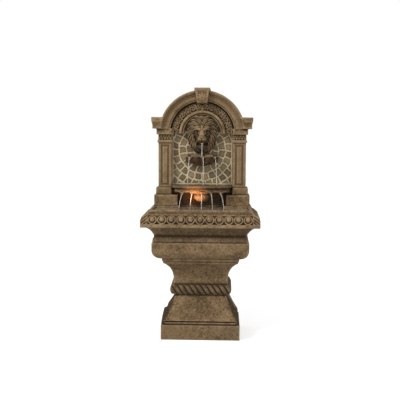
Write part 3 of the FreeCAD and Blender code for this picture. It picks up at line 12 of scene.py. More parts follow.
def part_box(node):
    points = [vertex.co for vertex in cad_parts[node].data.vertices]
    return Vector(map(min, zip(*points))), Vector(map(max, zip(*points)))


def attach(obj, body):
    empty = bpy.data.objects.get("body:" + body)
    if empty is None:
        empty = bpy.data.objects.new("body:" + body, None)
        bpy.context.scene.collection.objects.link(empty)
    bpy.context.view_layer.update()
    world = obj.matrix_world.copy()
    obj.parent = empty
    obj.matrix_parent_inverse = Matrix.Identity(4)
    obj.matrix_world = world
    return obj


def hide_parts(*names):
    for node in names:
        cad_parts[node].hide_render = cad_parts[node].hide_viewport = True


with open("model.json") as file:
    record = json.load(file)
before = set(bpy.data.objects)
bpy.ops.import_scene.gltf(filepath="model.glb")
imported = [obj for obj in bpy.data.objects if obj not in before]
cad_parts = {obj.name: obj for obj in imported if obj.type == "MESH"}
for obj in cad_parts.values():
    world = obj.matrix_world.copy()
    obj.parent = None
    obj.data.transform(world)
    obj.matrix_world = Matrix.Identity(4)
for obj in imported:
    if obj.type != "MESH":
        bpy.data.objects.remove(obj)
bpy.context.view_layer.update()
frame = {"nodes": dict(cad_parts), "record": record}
nodes = frame["nodes"]
box_of = functools.cache(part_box)

ROOT_BODY = "fountain"
MM = 0.001
GRAVITY = 9.81
TRIANGLE_LIMIT = 190000

# Voxel of each casting's surface, fine enough for its carving
VOXEL = {"pedestal": 2.9 * MM, "basin": 3.0 * MM, "backsplash": 2.6 * MM, "spill_bowl": 2.2 * MM,
         "shell_cup": 1.5 * MM, "lion_mask": 1.2 * MM, "mosaic_panel": 1.7 * MM}

# Wear of the castings: how far edges soften, then the size of lumps and pits and their share of the depth
SOFTEN_FACTOR = 0.4
WEAR_LAYERS = (("lumps", 0.045, 1.0), ("pits", 0.007, 0.6))

# Rounds of averaging that find hollows and edges, and the height in voxels that counts in full
CAVITY_SCALES = ((3, 0.25), (12, 0.9))

# Egg band of the basin's rim, and how far its corner ribs run in under the eggs
EGG_LOW = 0.611
EGG_HIGH = 0.657
EGG_PITCH = 0.0475
EGG_FRONT_COUNT = 11
EGG_CORNER = 0.030
EGG_OVERLAP = 0.004

# Shadowed mouldings of the basin, between bulge and rim
THROAT_LOW = 0.510
THROAT_HIGH = 0.590

# Pedestal: top of the plinth, then the foot above its groove and how it draws in
PLINTH_TOP = 0.076
FOOT_LOW = 0.096
FOOT_HIGH = 0.224
FOOT_INSET = 0.004
FOOT_DRAW = 0.064
FOOT_SWELL = 0.024

# Rope band of the pedestal
ROPE_LOW = 0.224
ROPE_HIGH = 0.277
ROPE_PITCH = 0.030
ROPE_LEAN = 0.60
ROPE_RISE = 0.0125
ROPE_SUNK = 0.0095

# Leaf on each front corner of the foot, by tier: height, inset from the plinth and half width
LEAF_TIERS = (
    ((0.079, 0.001, 0.007), (0.100, 0.003, 0.010), (0.116, 0.005, 0.016), (0.154, 0.013, 0.017)),
    ((0.150, 0.025, 0.017), (0.178, 0.034, 0.017), (0.199, 0.050, 0.015), (0.222, 0.066, 0.011)),
)

# Arch of the backsplash
ARCH_CENTRE = 1.057
CARVED_INNER = 0.122
CARVED_OUTER = 0.162
GROOVE_OUTER = 0.171
COVE_INNER = 0.189
COVE_OUTER = 0.2175
EAR_INNER = 0.195

# Scroll carved in the arch: a waving vine, with a flower and two leaves in each bend
SCROLL_PERIOD = 0.066
SCROLL_SUNK = 0.0045
FLOWER_PETALS = 5

# Capitals of the pilasters: their place, and two rows of leaves with sizes in shares of a leaf's cell
CAPITAL_LOW = 1.024
CAPITAL_HIGH = 1.053
CAPITAL_INNER = 0.161
CAPITAL_OUTER = 0.231
CAPITAL_MARGIN = 0.004
CAPITAL_LEAVES = 5
CAPITAL_ROWS = ((0.30, 0.0), (0.72, 0.5))
CAPITAL_RISE = 0.0060
CAPITAL_SUNK = 0.0032

# Foot and inner side of the pilasters, and the recess between their blocks
BASE_LOW = 0.738
PILASTER_INNER = CAPITAL_INNER - 0.030
RECESS_TOP = 0.775
RECESS_HALF = 0.130

# Keystone, and its palmette by lean in degrees and length of each lobe
KEYSTONE_LOW = 1.2154
KEYSTONE_HALF = 0.040
PALMETTE_FOOT = 1.238
PALMETTE_LOBES = ((0, 0.034), (34, 0.031), (-34, 0.031), (68, 0.024), (-68, 0.024))
PALMETTE_RISE = 0.0042
PALMETTE_HALF = 0.0058

# Stone rings of the mosaic
RING_CENTRE = 0.971
RING_WIDTH = 0.0385
RING_INNER = 0.0085
RING_STAGGER = 0.37
STONE_LENGTH = 0.98 * RING_WIDTH
GROUT = 0.0068
STONE_RISE = 0.0058
STONE_RISE_SPREAD = (0.75, 1.1)
STONE_SHOULDER = 0.0075
STONE_EDGE = (0.0012, 0.0052)
GROUT_EDGE = (-0.0008, 0.0012)
RISE_SEED = 11
SHADE_SEED = 3

# Waves that bend the rings: reach, turn per metre across and up, and phase
BEND_X = ((0.0016, 0, 95, 1.3), (0.0011, 210, 160, 0))
BEND_Z = ((0.0016, 88, 0, 0.4), (0.0011, -170, 190, 0))

# Numbers that tell the stones apart, and how many of them draw a value of their own
RING_STRIDE = 131
STONE_STRIDE = 17
STONE_KINDS = 8192

# Shell cup: its rim, the three spouts that the rim dips to, and lower edge of the paler rim above the
# painted shade of the lobes
CUP_RIM = 0.948
CUP_SPOUTS = (-0.064, 0.007, 0.068)
SPOUT_HALF = 0.0100
SPOUT_DEPTH = 0.0150
CUP_RIM_EDGE = (-0.0135, -0.0095)

# Underside of the bowl's slab
BOWL_SLAB = 0.767

# Lion mask: middle of the head
LION_CENTRE = 1.055

# The plinth from paler on its left to darker on its right
PLINTH_PLACES = (-0.15, 0, 0.15)
PLINTH_TONE = (-0.6, 0, 0.25)


# Mesh tools

def vertex_array(mesh, field="co"):
    values = np.empty(len(mesh.vertices) * 3, np.float32)
    mesh.vertices.foreach_get(field, values)
    return values.reshape(-1, 3).astype(float)


def set_vertices(mesh, points):
    mesh.vertices.foreach_set("co", points.astype(np.float32).ravel())
    mesh.update()


def neighbour_mean(mesh, values, rounds):
    """Each vertex's value averaged with its neighbours, some rounds over."""
    ends = np.empty(len(mesh.edges) * 2, np.int32)
    mesh.edges.foreach_get("vertices", ends)
    first, second = ends.reshape(-1, 2).T
    size = len(values)
    count = np.maximum(np.bincount(ends, minlength=size), 1)
    for _ in range(rounds):
        columns = [np.bincount(first, column[second], size) + np.bincount(second, column[first], size)
                   for column in values.T]
        values = np.stack(columns, 1) / count[:, None]
    return values


def set_attribute(mesh, name, values):
    layer = mesh.attributes.new(name, "FLOAT", "POINT")
    layer.data.foreach_set("value", values.astype(np.float32))


def mesh_of(work, name):
    """The mesh that a bmesh holds, which ends the bmesh."""
    mesh = bpy.data.meshes.new(name)
    work.to_mesh(mesh)
    work.free()
    return mesh


def new_object(name, data):
    obj = bpy.data.objects.new(name, data)
    bpy.context.scene.collection.objects.link(obj)
    return obj


def bake(obj):
    """Puts what the object's modifiers give into its mesh."""
    graph = bpy.context.evaluated_depsgraph_get()
    mesh = bpy.data.meshes.new_from_object(obj.evaluated_get(graph))
    obj.modifiers.clear()
    obj.data = mesh
    return mesh


def node_tree(node):
    """The surface of a CAD node, to be found by rays."""
    mesh = nodes[node].data
    places = [vertex.co for vertex in mesh.vertices]
    return BVHTree.FromPolygons(places, [tuple(face.vertices) for face in mesh.polygons])


def ball(work, centre, radii):
    """A closed ellipsoid, which the remesh joins to what it overlaps."""
    place = Matrix.Translation(centre) @ Matrix.Diagonal((*radii, 1.0))
    bmesh.ops.create_icosphere(work, subdivisions=3, radius=1.0, matrix=place)


def curve_points(controls, count):
    """Points of a smooth curve drawn by its control points."""
    result = []
    for step in range(count + 1):
        points = [Vector(point) for point in controls]
        while len(points) > 1:
            points = [a.lerp(b, step / count) for a, b in zip(points, points[1:])]
        result.append(points[0])
    return result


def strand(work, points, radii, sides=10):
    """A closed tube through the points, with a radius at each."""
    nearly_parallel = 0.05
    turns = [2 * math.pi * side / sides for side in range(sides)]
    rings = []
    for index, (point, radius) in enumerate(zip(points, radii)):
        ahead = points[min(index + 1, len(points) - 1)]
        behind = points[max(index - 1, 0)]
        along = (ahead - behind).normalized()
        across = along.cross(Vector((0, 1, 0)))
        if across.length < nearly_parallel:
            across = along.cross(Vector((1, 0, 0)))
        across.normalize()
        out = along.cross(across)
        offsets = [math.cos(turn) * across + math.sin(turn) * out for turn in turns]
        rings.append([work.verts.new(point + radius * offset) for offset in offsets])
    for ring, following in zip(rings, rings[1:]):
        for side in range(sides):
            after = (side + 1) % sides
            work.faces.new((ring[side], ring[after], following[after], following[side]))
    work.faces.new(rings[0][::-1])
    work.faces.new(rings[-1])


# Height fields

def ridge(distance, half, rise=1.0):
    """Rounded ridge about distance 0."""
    return rise * np.sqrt(np.clip(1 - (distance / half) ** 2, 0, None))


def oval(aside, up, halves, rise=1.0):
    """Rounded mound about the point (0, 0)."""
    half_width, half_height = halves
    return ridge(np.hypot(aside / half_width, up / half_height), 1, rise)


def soft_step(values, low, high):
    share = np.clip((values - low) / (high - low), 0, 1)
    return share * share * (3 - 2 * share)


def between(values, low, high, feather=0.003):
    return soft_step(values, low, low + feather) * (1 - soft_step(values, high - feather, high))


def moulding_run(points, normals, side_start):
    """Distance along a moulding that runs round the front and both sides, read left to right."""
    x, y, _ = points.T
    across, forward, _ = normals.T
    front = (-forward > np.abs(across)) & (y < 0)
    side = (np.abs(across) > np.abs(forward)) & (across * x > 0)
    along = np.where(front, x, np.sign(x) * (y - side_start))
    return along, front, side


def egg_band(points, normals):
    """Eggs in rings that touch, round the rim, and ribs under the leaf on each front corner."""
    lift, sunk = 0.0030, 0.0058
    ring_radius, ring_fade = 0.0200, (0.002, 0.016)
    rib_rise, rib_pitch, rib_lean = 0.0028, 0.0150, 0.8
    low, high = box_of("basin")
    first_egg = low.y + EGG_CORNER + EGG_PITCH / 2
    along, front, side = moulding_run(points, normals, first_egg)
    x, y, z = points.T
    front_half = EGG_FRONT_COUNT * EGG_PITCH / 2
    in_front = front & (np.abs(x) < front_half)
    in_side = side & (y > first_egg - EGG_PITCH / 2) & (y < high.y - EGG_CORNER / 2)
    cell = along - EGG_PITCH * np.round(along / EGG_PITCH)
    up = z - (EGG_LOW + EGG_HIGH) / 2
    egg = oval(cell, up - lift, halves=(0.0136, 0.0140), rise=0.0108)
    ring = ridge(np.hypot(cell, up) - ring_radius, half=0.0036, rise=0.0082)
    ring *= 1 - 0.6 * soft_step(up, *ring_fade)
    carved = np.maximum(egg, ring) - sunk
    from_corner = np.where(front, high.x - np.abs(x), y - low.y)
    ribs = rib_rise * np.cos(2 * math.pi * (up - rib_lean * from_corner) / rib_pitch)
    leaf = ribs * (front | side) * (from_corner < EGG_CORNER + EGG_OVERLAP)
    return np.where(in_front | in_side, carved, leaf) * between(z, EGG_LOW, EGG_HIGH)


def rope_band(points, normals):
    """Twisted strands round the waist of the pedestal, which lean more towards its edges."""
    along, front, side = moulding_run(points, normals, 0.0)
    z = points[:, 2]
    middle = (ROPE_LOW + ROPE_HIGH) / 2
    height = (z - middle) / (ROPE_HIGH - ROPE_LOW)
    phase = along + ROPE_LEAN * (z - middle) * (0.85 + 1.2 * height ** 2)
    strands = np.abs(np.cos(math.pi * phase / ROPE_PITCH)) ** 0.7
    carved = ROPE_RISE * strands - ROPE_SUNK
    return np.where(front | side, carved, 0) * between(z, ROPE_LOW, ROPE_HIGH, 0.006)


def arch_scroll(points, normals):
    """Leaf scroll in the band of the arch, the same to both sides of its top."""
    swing, flower_shift = 0.0110, 0.0060
    sprig_aside, sprig_shift = 0.0145, 0.005
    x, _, z = points.T
    radius = np.hypot(x, z - ARCH_CENTRE)
    middle = (CARVED_INNER + CARVED_OUTER) / 2
    along = np.abs(np.arctan2(x, z - ARCH_CENTRE)) * middle
    wave = 2 * math.pi / SCROLL_PERIOD
    vine = ridge(radius - middle - swing * np.sin(wave * along), half=0.0036, rise=0.0070)
    half = SCROLL_PERIOD / 2
    bend = (np.floor(along / half) + 0.5) * half
    turned = np.sin(wave * bend)
    aside = along - bend
    up = radius - middle + flower_shift * turned
    spread = np.hypot(aside, up)
    petals = 0.50 + 0.50 * np.cos(FLOWER_PETALS * np.arctan2(up, aside))
    flower = ridge(spread, half=0.0138, rise=0.0080) * petals
    bud = ridge(spread, half=0.0034, rise=0.0085)
    leaf_up = up + sprig_shift * np.sign(turned)
    leaf = oval(np.abs(aside) - sprig_aside, leaf_up, halves=(0.0044, 0.0110), rise=0.0062)
    carved = np.maximum.reduce([vine, flower, bud, leaf]) - SCROLL_SUNK
    ahead = (normals[:, 1] < -0.5) & (z > ARCH_CENTRE)
    return np.where(ahead, carved, 0) * between(radius, CARVED_INNER, CARVED_OUTER, 0.002)


def capital_leaves(points, normals):
    """Two staggered rows of small leaves round each capital."""
    x, y, z = points.T
    width = (CAPITAL_OUTER - CAPITAL_INNER) / CAPITAL_LEAVES
    front = normals[:, 1] < -0.6
    side = np.abs(normals[:, 0]) > 0.6
    along = np.where(front, np.abs(x) - CAPITAL_INNER, y)
    up = (z - CAPITAL_LOW) / (CAPITAL_HIGH - CAPITAL_LOW)
    leaves = np.zeros(len(points))
    for middle, shift in CAPITAL_ROWS:
        cell = (along / width + shift) % 1 - 0.5
        leaf = oval(cell, up - middle, halves=(0.46, 0.27)) - ridge(cell, half=0.07, rise=0.35)
        leaves = np.maximum(leaves, leaf)
    inside = (np.abs(x) > CAPITAL_INNER - CAPITAL_MARGIN) & (np.abs(x) < CAPITAL_OUTER + CAPITAL_MARGIN)
    carved = CAPITAL_RISE * leaves - CAPITAL_SUNK
    return np.where((front | side) & inside, carved, 0) * between(z, CAPITAL_LOW, CAPITAL_HIGH)


def keystone_palmette(points, normals):
    """A spreading leaf in a sunk field of the keystone's face."""
    field_half, flare = 0.021, 0.11
    sill, head = 0.007, 0.010
    curl_aside, curl_drop, curl_radius = 0.0110, 0.0085, 0.0055
    x, _, z = points.T
    up = z - PALMETTE_FOOT
    height = np.zeros(len(x))
    for turn, length in PALMETTE_LOBES:
        lean = math.radians(turn)
        along = x * math.sin(lean) + up * math.cos(lean)
        across = x * math.cos(lean) - up * math.sin(lean)
        lobe = oval(along - 0.55 * length, across, (0.48 * length, PALMETTE_HALF), PALMETTE_RISE)
        height = np.maximum(height, lobe)
    bud = ridge(np.hypot(x, up), half=0.0075, rise=0.0045)
    curl = ridge(np.hypot(np.abs(x) - curl_aside, up + curl_drop) - curl_radius, half=0.0026, rise=0.0036)
    from_sides = field_half + flare * (z - KEYSTONE_LOW) - np.abs(x)
    from_sill = z - KEYSTONE_LOW - sill
    from_head = box_of("backsplash")[1].z - head - z
    inside = np.minimum.reduce([from_sides, from_sill, from_head])
    field = soft_step(inside, -0.004, 0.010) * (normals[:, 1] < -0.7)
    return field * (np.maximum.reduce([height, bud, curl]) - PALMETTE_RISE)


def bent(values, x, z, waves):
    """Values moved by waves across the panel."""
    moves = (reach * np.sin(across * x + up * z + phase) for reach, across, up, phase in waves)
    return sum(moves, values)


def cobbles(points):
    """Where each point lies in the mosaic: distance inside its stone's edge, and the stone's number."""
    x, _, z = points.T
    bent_x = bent(x, x, z, BEND_X)
    bent_z = bent(z, x, z, BEND_Z)
    radius = np.hypot(bent_x, bent_z - RING_CENTRE)
    angle = np.arctan2(bent_x, RING_CENTRE - bent_z)
    ring = np.maximum(np.floor((radius - RING_INNER) / RING_WIDTH), 0)
    inner = RING_INNER + ring * RING_WIDTH
    middle = inner + RING_WIDTH / 2
    count = np.round(2 * math.pi * middle / STONE_LENGTH)
    place = (angle / (2 * math.pi)) * count + RING_STAGGER * ring
    stone = np.floor(place)
    side = (np.abs(place - stone - 0.5) - 0.5) * -2 * math.pi / count * radius
    low, high = box_of("mosaic_panel")
    border = np.minimum(high.x - np.abs(x), z - low.z) - GROUT / 2
    inside = np.minimum.reduce([radius - inner, inner + RING_WIDTH - radius, side, border]) - GROUT / 2
    number = (ring * RING_STRIDE + np.mod(stone, count) * STONE_STRIDE).astype(int)
    return inside, number


def by_stone(number, seed, low, high):
    """A value for each stone, drawn at random from a range."""
    values = np.random.default_rng(seed).uniform(low, high, STONE_KINDS)
    return values[np.mod(number, STONE_KINDS)]


def stone_relief(points, normals):
    """Rounded stones that stand out of their grout."""
    inside, number = cobbles(points)
    dome = np.clip(inside / STONE_SHOULDER, 0, 1)
    height = STONE_RISE * by_stone(number, RISE_SEED, *STONE_RISE_SPREAD) * np.sqrt(1 - (1 - dome) ** 2)
    return np.where(normals[:, 1] < -0.5, height, 0)


def cup_flutes(points, normals):
    """Shell ribs that fan out from the foot of the cup."""
    rise, per_radian = 0.0030, 16
    end, clear = 0.016, 0.008
    x, y, z = points.T
    high = box_of("shell_cup")[1]
    ribs = np.cos(np.arctan2(x, high.y - y) * per_radian)
    below_rim = 1 - soft_step(z, high.z - end, high.z - clear)
    outside = (normals[:, 1] < 0.2) & (normals[:, 2] < 0.35)
    return np.where(outside, rise * ribs, 0) * below_rim


# Changes of shape

def cup_dip(x):
    """How far the rim of the cup lies below its crests."""
    return SPOUT_DEPTH * sum(np.exp(-((x - spout) / SPOUT_HALF) ** 2) for spout in CUP_SPOUTS)


def cup_scallops(points):
    """The front of the cup drawn down to its spouts, so that the rim waves over the lobes."""
    reach, back = 0.036, (0.012, 0.022)
    x, y, z = points.T
    front = soft_step(box_of("shell_cup")[1].y - y, *back)
    return np.stack([x, y, z - cup_dip(x) * front * soft_step(z, CUP_RIM - reach, CUP_RIM)], 1)


def lion_shape(points):
    """The solid of the mask with a narrower muzzle and flatter cheeks, after the photograph."""
    muzzle_out, muzzle_height, narrower = (0.036, 0.058), (-0.054, 0.002), 0.40
    cheek_out, cheek_aside, flatter = (0.035, 0.055), 0.040, 0.014
    x, y, z = points.T
    out = box_of("lion_mask")[1].y - y
    up = z - LION_CENTRE
    muzzle = soft_step(out, *muzzle_out) * between(up, *muzzle_height, 0.014)
    cheeks = soft_step(out, *cheek_out) * oval(np.abs(x) - cheek_aside, up, halves=(0.022, 0.034))
    return np.stack([x * (1 - narrower * muzzle), y + flatter * cheeks, z], 1)


# Shells that join a casting

def foot_inset(z):
    """How far the foot has drawn in at a height."""
    share = np.clip((z - FOOT_LOW) / (FOOT_HIGH - FOOT_LOW), 0, 1)
    return FOOT_INSET + FOOT_DRAW * share + FOOT_SWELL * share * (1 - share)


def foot_leaves(work):
    """Two tiers of leaf up each front corner of the foot."""
    step, half_step = 0.003, 0.007
    lobe_pitch, lobe_wave = 0.014, 0.08
    deeper, sunk = 1.35, 0.92
    low, high = box_of("pedestal")
    for side in (-1, 1):
        for tier in LEAF_TIERS:
            heights, insets, half_widths = np.transpose(tier)
            for z in np.arange(heights[0], heights[-1], step):
                lobes = 1 + lobe_wave * math.cos(2 * math.pi * z / lobe_pitch)
                across = lobes * np.interp(z, heights, half_widths)
                deep = deeper * across
                x = high.x - np.interp(z, heights, insets) - across
                y = low.y + foot_inset(z) + sunk * deep
                ball(work, (side * x, y, z), (across, deep, half_step))


def rim_leaves(work):
    """A small leaf over each front corner of the egg band."""
    first, height, steps = EGG_LOW + 0.006, 0.038, 8
    inset, draw, thick = 0.003, 0.026, 0.0105
    low, high = box_of("basin")
    for side in (-1, 1):
        for step in range(steps + 1):
            share = step / steps
            z = first + height * share
            swell = 0.7 + 0.3 * math.sin(math.pi * share)
            radius = thick * swell * (0.88 + 0.12 * math.cos(4 * math.pi * share))
            sunk = inset + draw * share ** 1.6 + radius * 0.75
            ball(work, (side * (high.x - sunk), low.y + sunk, z), (radius, radius, radius))


def side_scrolls(work, steps=30):
    """A rolled scroll at each end of the cup."""
    inset, behind, below = 0.017, 0.030, 0.024
    start, roll = 1.2, 4.2 * math.pi
    widest, core = 0.0135, 0.002
    forward, thick = 0.010, 0.0048
    low, high = box_of("shell_cup")
    middle = (low.x + high.x) / 2
    for side in (-1, 1):
        eye = Vector((middle + side * (high.x - middle - inset), high.y - behind, high.z - below))
        points = []
        radii = []
        for step in range(steps + 1):
            share = step / steps
            turn = side * (start + roll * share)
            reach = widest * (1 - share) + core
            rolled = Vector((reach * math.cos(turn), -forward * share, reach * math.sin(turn)))
            points.append(eye + rolled)
            radii.append(thick * (1 - 0.45 * share))
        strand(work, points, radii)


def cup_rim(work, steps=60):
    """A rounded lip that follows the lobes of the cup."""
    drop, back, beyond = 0.0065, 0.012, 0.3
    proud, thick = 0.001, 0.0060
    high = box_of("shell_cup")[1]
    walls = node_tree("shell_cup")
    middle = Vector((0, high.y - back, high.z - drop))
    points = []
    for step in range(steps + 1):
        turn = math.pi * (0.02 + 0.96 * step / steps)
        way = Vector((math.cos(turn), -math.sin(turn), 0))
        spot = walls.ray_cast(middle + way * beyond, -way)[0]
        points.append(spot + way * proud)
    strand(work, points, [thick] * len(points), 12)


# Lion mask

LOCK_STEPS = 14
OUTER_THICK = 9.6
INNER_THICK = 8.2

# Locks of the mane on one side, from the brow down to the beard: points across, out and up in mm
OUTER_LOCKS = (
    ((6, 52, 62), (18, 66, 86), (34, 42, 96), (48, 22, 84)),
    ((20, 54, 54), (38, 62, 76), (57, 40, 76), (65, 20, 58)),
    ((34, 50, 46), (54, 56, 58), (70, 36, 51), (73, 16, 30)),
    ((42, 48, 34), (62, 52, 38), (76, 34, 24), (75, 14, 2)),
    ((45, 46, 20), (65, 50, 17), (77, 32, -1), (73, 14, -24)),
    ((46, 46, 4), (65, 50, -5), (75, 32, -24), (67, 14, -46)),
    ((46, 46, -12), (63, 50, -25), (69, 32, -46), (57, 14, -66)),
    ((44, 46, -28), (57, 50, -43), (58, 32, -66), (44, 14, -84)),
    ((38, 46, -42), (48, 50, -59), (45, 32, -82), (30, 14, -96)),
    ((28, 42, -54), (35, 48, -73), (29, 28, -92), (16, 14, -101)),
)
INNER_LOCKS = (
    ((4, 62, 50), (10, 76, 68), (23, 64, 80), (36, 48, 72)),
    ((16, 62, 44), (31, 74, 58), (47, 56, 60), (55, 42, 44)),
    ((32, 58, 34), (49, 64, 42), (62, 48, 34), (64, 36, 12)),
    ((42, 54, 17), (56, 60, 15), (65, 46, -1), (61, 34, -20)),
    ((43, 52, -3), (55, 58, -11), (60, 46, -27), (53, 34, -46)),
    ((41, 50, -21), (50, 56, -33), (51, 44, -51), (43, 32, -68)),
    ((34, 46, -40), (42, 52, -54), (39, 42, -71), (29, 28, -86)),
    ((18, 40, -60), (22, 46, -75), (16, 32, -90), (7, 20, -101)),
)


def at(x, out, up):
    """A place on the mask in millimetres: across, out from the panel, up from its middle."""
    back = box_of("lion_mask")[1].y
    return Vector((x * MM, back - out * MM, LION_CENTRE + up * MM))


def lump(work, place, radii):
    """A rounded mass of the mask, in millimetres."""
    ball(work, at(*place), [MM * radius for radius in radii])


def rib(work, controls, first, last, steps, sides):
    """A strand of the mask along a curve, from one radius to another, in millimetres."""
    points = curve_points([at(*point) for point in controls], steps)
    radii = [MM * (first + (last - first) * step / steps) for step in range(steps + 1)]
    strand(work, points, radii, sides)


def lock(work, controls, thick):
    """A lock of hair in two strands that swell and run out to a point."""
    middle = curve_points([at(*point) for point in controls], LOCK_STEPS)
    for part in (-1, 1):
        points = []
        radii = []
        for step, point in enumerate(middle):
            share = step / LOCK_STEPS
            ahead = middle[min(step + 1, LOCK_STEPS)] - middle[max(step - 1, 0)]
            aside = ahead.cross(Vector((0, 1, 0))).normalized()
            swell = 0.45 + 0.55 * math.sin(math.pi * (0.15 + 0.55 * share))
            swell *= MM * thick * (1 - 0.7 * share ** 3)
            points.append(point + aside * part * 0.58 * swell)
            radii.append(0.48 * swell)
        strand(work, points, radii)


def lion_mane(work):
    """Long locks that sweep down round the face and meet in a pointed beard."""
    lump(work, (0, 6, 0), (69, 20, 95))
    lump(work, (0, 34, 76), (30, 20, 22))
    for side in (-1, 1):
        for locks, thick in ((OUTER_LOCKS, OUTER_THICK), (INNER_LOCKS, INNER_THICK)):
            for points in locks:
                lock(work, [(side * across, out, up) for across, out, up in points], thick)


def lion_face(work):
    """Skull, forehead, chin, nose, then on each side muzzle, eye, brow, lid, lip and ear."""
    lump(work, (0, 20, 4), (50, 34, 78))
    lump(work, (0, 40, 36), (32, 28, 30))
    lump(work, (0, 38, -66), (16, 16, 12))
    rib(work, ((0, 60, 42), (0, 74, 14), (0, 86, -12)), 8.5, 14.0, 10, 14)
    lump(work, (0, 86, -14), (16.5, 9.0, 9.0))
    for side in (-1, 1):
        lump(work, (side * 9.5, 70, -24), (15.0, 20.0, 12.2))
        lump(work, (side * 29, 52, 13), (8.5, 8.0, 6.0))
        rib(work, ((side * 7, 74, 22), (side * 24, 76, 33), (side * 44, 54, 21)), 7.5, 4.3, 10, 10)
        rib(work, ((side * 18, 58, 6), (side * 29, 60, 4), (side * 40, 50, 12)), 2.2, 2.2, 8, 8)
        rib(work, ((side * 4, 84, -22), (side * 15, 80, -33), (side * 25, 54, -36)), 3.6, 3.6, 8, 8)
        lump(work, (side * 47, 34, 56), (13.0, 12.0, 15.0))


# Stains, painted shade and painted light: strength of the dark wash, which in places is painted shade, and
# below 0 of paler stone, which in places is painted light

def blend(first, second, share):
    return first + (second - first) * share


def pedestal_wash_and_shade(points):
    """Wash in the grooves and the rope, painted shade on the sideways leaves of the foot's corners, and a
    plinth paler to the left and darker to the right.
    """
    x, y, z = points.T
    low, high = box_of("pedestal")
    groove = 0.35 * between(z, PLINTH_TOP + 0.001, FOOT_LOW, 0.001)
    rope = 0.72 * between(z, ROPE_LOW - 0.008, ROPE_HIGH + 0.012, 0.008)
    face_edge = high.x - 0.012 - 0.9 * foot_inset(z)
    # Painted shade on the corner leaves, which turn sideways from the light
    leaves = soft_step(np.abs(x) - face_edge, -0.004, 0.003) * between(z, PLINTH_TOP, FOOT_HIGH)
    leaves *= 1 - soft_step(y - low.y - foot_inset(z), 0.034, 0.050)
    plinth = np.interp(x, PLINTH_PLACES, PLINTH_TONE) * (z < PLINTH_TOP)
    return np.maximum.reduce([groove, rope, leaves]) + plinth


def basin_wash_and_shade(points):
    """Painted shade in the throat under the rim, and wash in the egg band and on the slope above it."""
    z = points[:, 2]
    # Painted shade on the mouldings that the rim overhangs
    throat = 0.34 * between(z, THROAT_LOW, THROAT_HIGH, 0.022)
    eggs = 0.12 * between(z, EGG_LOW, EGG_HIGH, 0.004)
    slope = 0.42 * soft_step(z, EGG_HIGH - 0.002, EGG_HIGH + 0.006)
    return np.maximum.reduce([throat, eggs, slope])


def backsplash_wash_shade_and_light(points):
    """Wash in carving and grooves, painted shadow in the recess, painted light on the cove and lips, and
    paler pilasters and keystone.
    """
    x, _, z = points.T
    aside = np.abs(x)
    radius = np.hypot(x, z - ARCH_CENTRE)

    def arc(inner, outer, feather):
        return between(radius, inner, outer, feather) * (z > ARCH_CENTRE)

    scroll = 0.20 * arc(CARVED_INNER, CARVED_OUTER, 0.002)
    groove = 0.45 * arc(CARVED_OUTER, GROOVE_OUTER, 0.001)
    beside_panel = aside > CAPITAL_INNER - CAPITAL_MARGIN
    capitals = 0.40 * between(z, CAPITAL_LOW, CAPITAL_HIGH, 0.004) * beside_panel
    # Painted shadow in the recess between the blocks under the bowl
    recess = 0.85 * soft_step(-z, -RECESS_TOP, -RECESS_TOP + 0.02) * (aside < RECESS_HALF)
    # Painted light: the downward facing cove is paled and the lips carry a painted highlight; pilasters
    # and keystone are paler
    cove = 0.45 * arc(COVE_INNER, COVE_OUTER, 0.006)
    inner_lip = 0.80 * arc(COVE_INNER - 0.004, COVE_INNER + 0.011, 0.005)
    outer_lip = 0.80 * arc(COVE_OUTER, COVE_OUTER + 0.020, 0.003) * (aside < EAR_INNER)
    pilasters = 0.36 * between(z, BASE_LOW, CAPITAL_LOW, 0.004) * (aside > PILASTER_INNER)
    keystone = 0.30 * (z > KEYSTONE_LOW) * (aside < KEYSTONE_HALF)
    stain_and_shade = np.maximum.reduce([scroll, groove, capitals, recess])
    painted_light_and_paler = np.maximum.reduce([cove, inner_lip, outer_lip, pilasters, keystone])
    return stain_and_shade - painted_light_and_paler


def cup_shade(points):
    """Painted shade in the lobes under a paler rim."""
    x, _, z = points.T
    in_rim = soft_step(z + cup_dip(x) - CUP_RIM, *CUP_RIM_EDGE)
    # Lobes darkened as painted shade of the overhanging rim
    return blend(0.96, 0.10, in_rim)


def lion_wash_and_shade(points):
    """Dark wash in the mane, and painted shade that deepens towards the panel and lies in the eye sockets
    and the open mouth.
    """
    shade_depths, face_edge = (0.014, 0.066), (0.50, 0.80)
    half_width, half_height = 0.062, 0.101
    mouth_height, mouth_half = (-0.082, -0.031), 0.028
    eye_aside, eye_up = 0.027, 0.011
    x, y, z = points.T
    aside = np.abs(x)
    up = z - LION_CENTRE
    # Painted shade, darker the deeper the surface lies towards the panel
    ahead = soft_step(box_of("mosaic_panel")[0].y - y, *shade_depths)
    depth = blend(0.88, 0.08, ahead)
    mane = 0.60 * soft_step(np.hypot(x / half_width, up / half_height), *face_edge)
    # Painted shade in the eye sockets and the open mouth
    eye_shade = oval(aside - eye_aside, up - eye_up, halves=(0.013, 0.009), rise=0.80)
    mouth = 0.95 * between(up, *mouth_height, 0.004) * (aside < mouth_half)
    return np.maximum.reduce([depth, mane, eye_shade, mouth])


def bowl_stain(points):
    """Dark slab on top, less wash on the mouldings and corbel below."""
    in_slab = soft_step(points[:, 2], BOWL_SLAB - 0.002, BOWL_SLAB + 0.002)
    return blend(0.30, 0.75, in_slab)


def unstained(points):
    return np.zeros(len(points))


# Castings

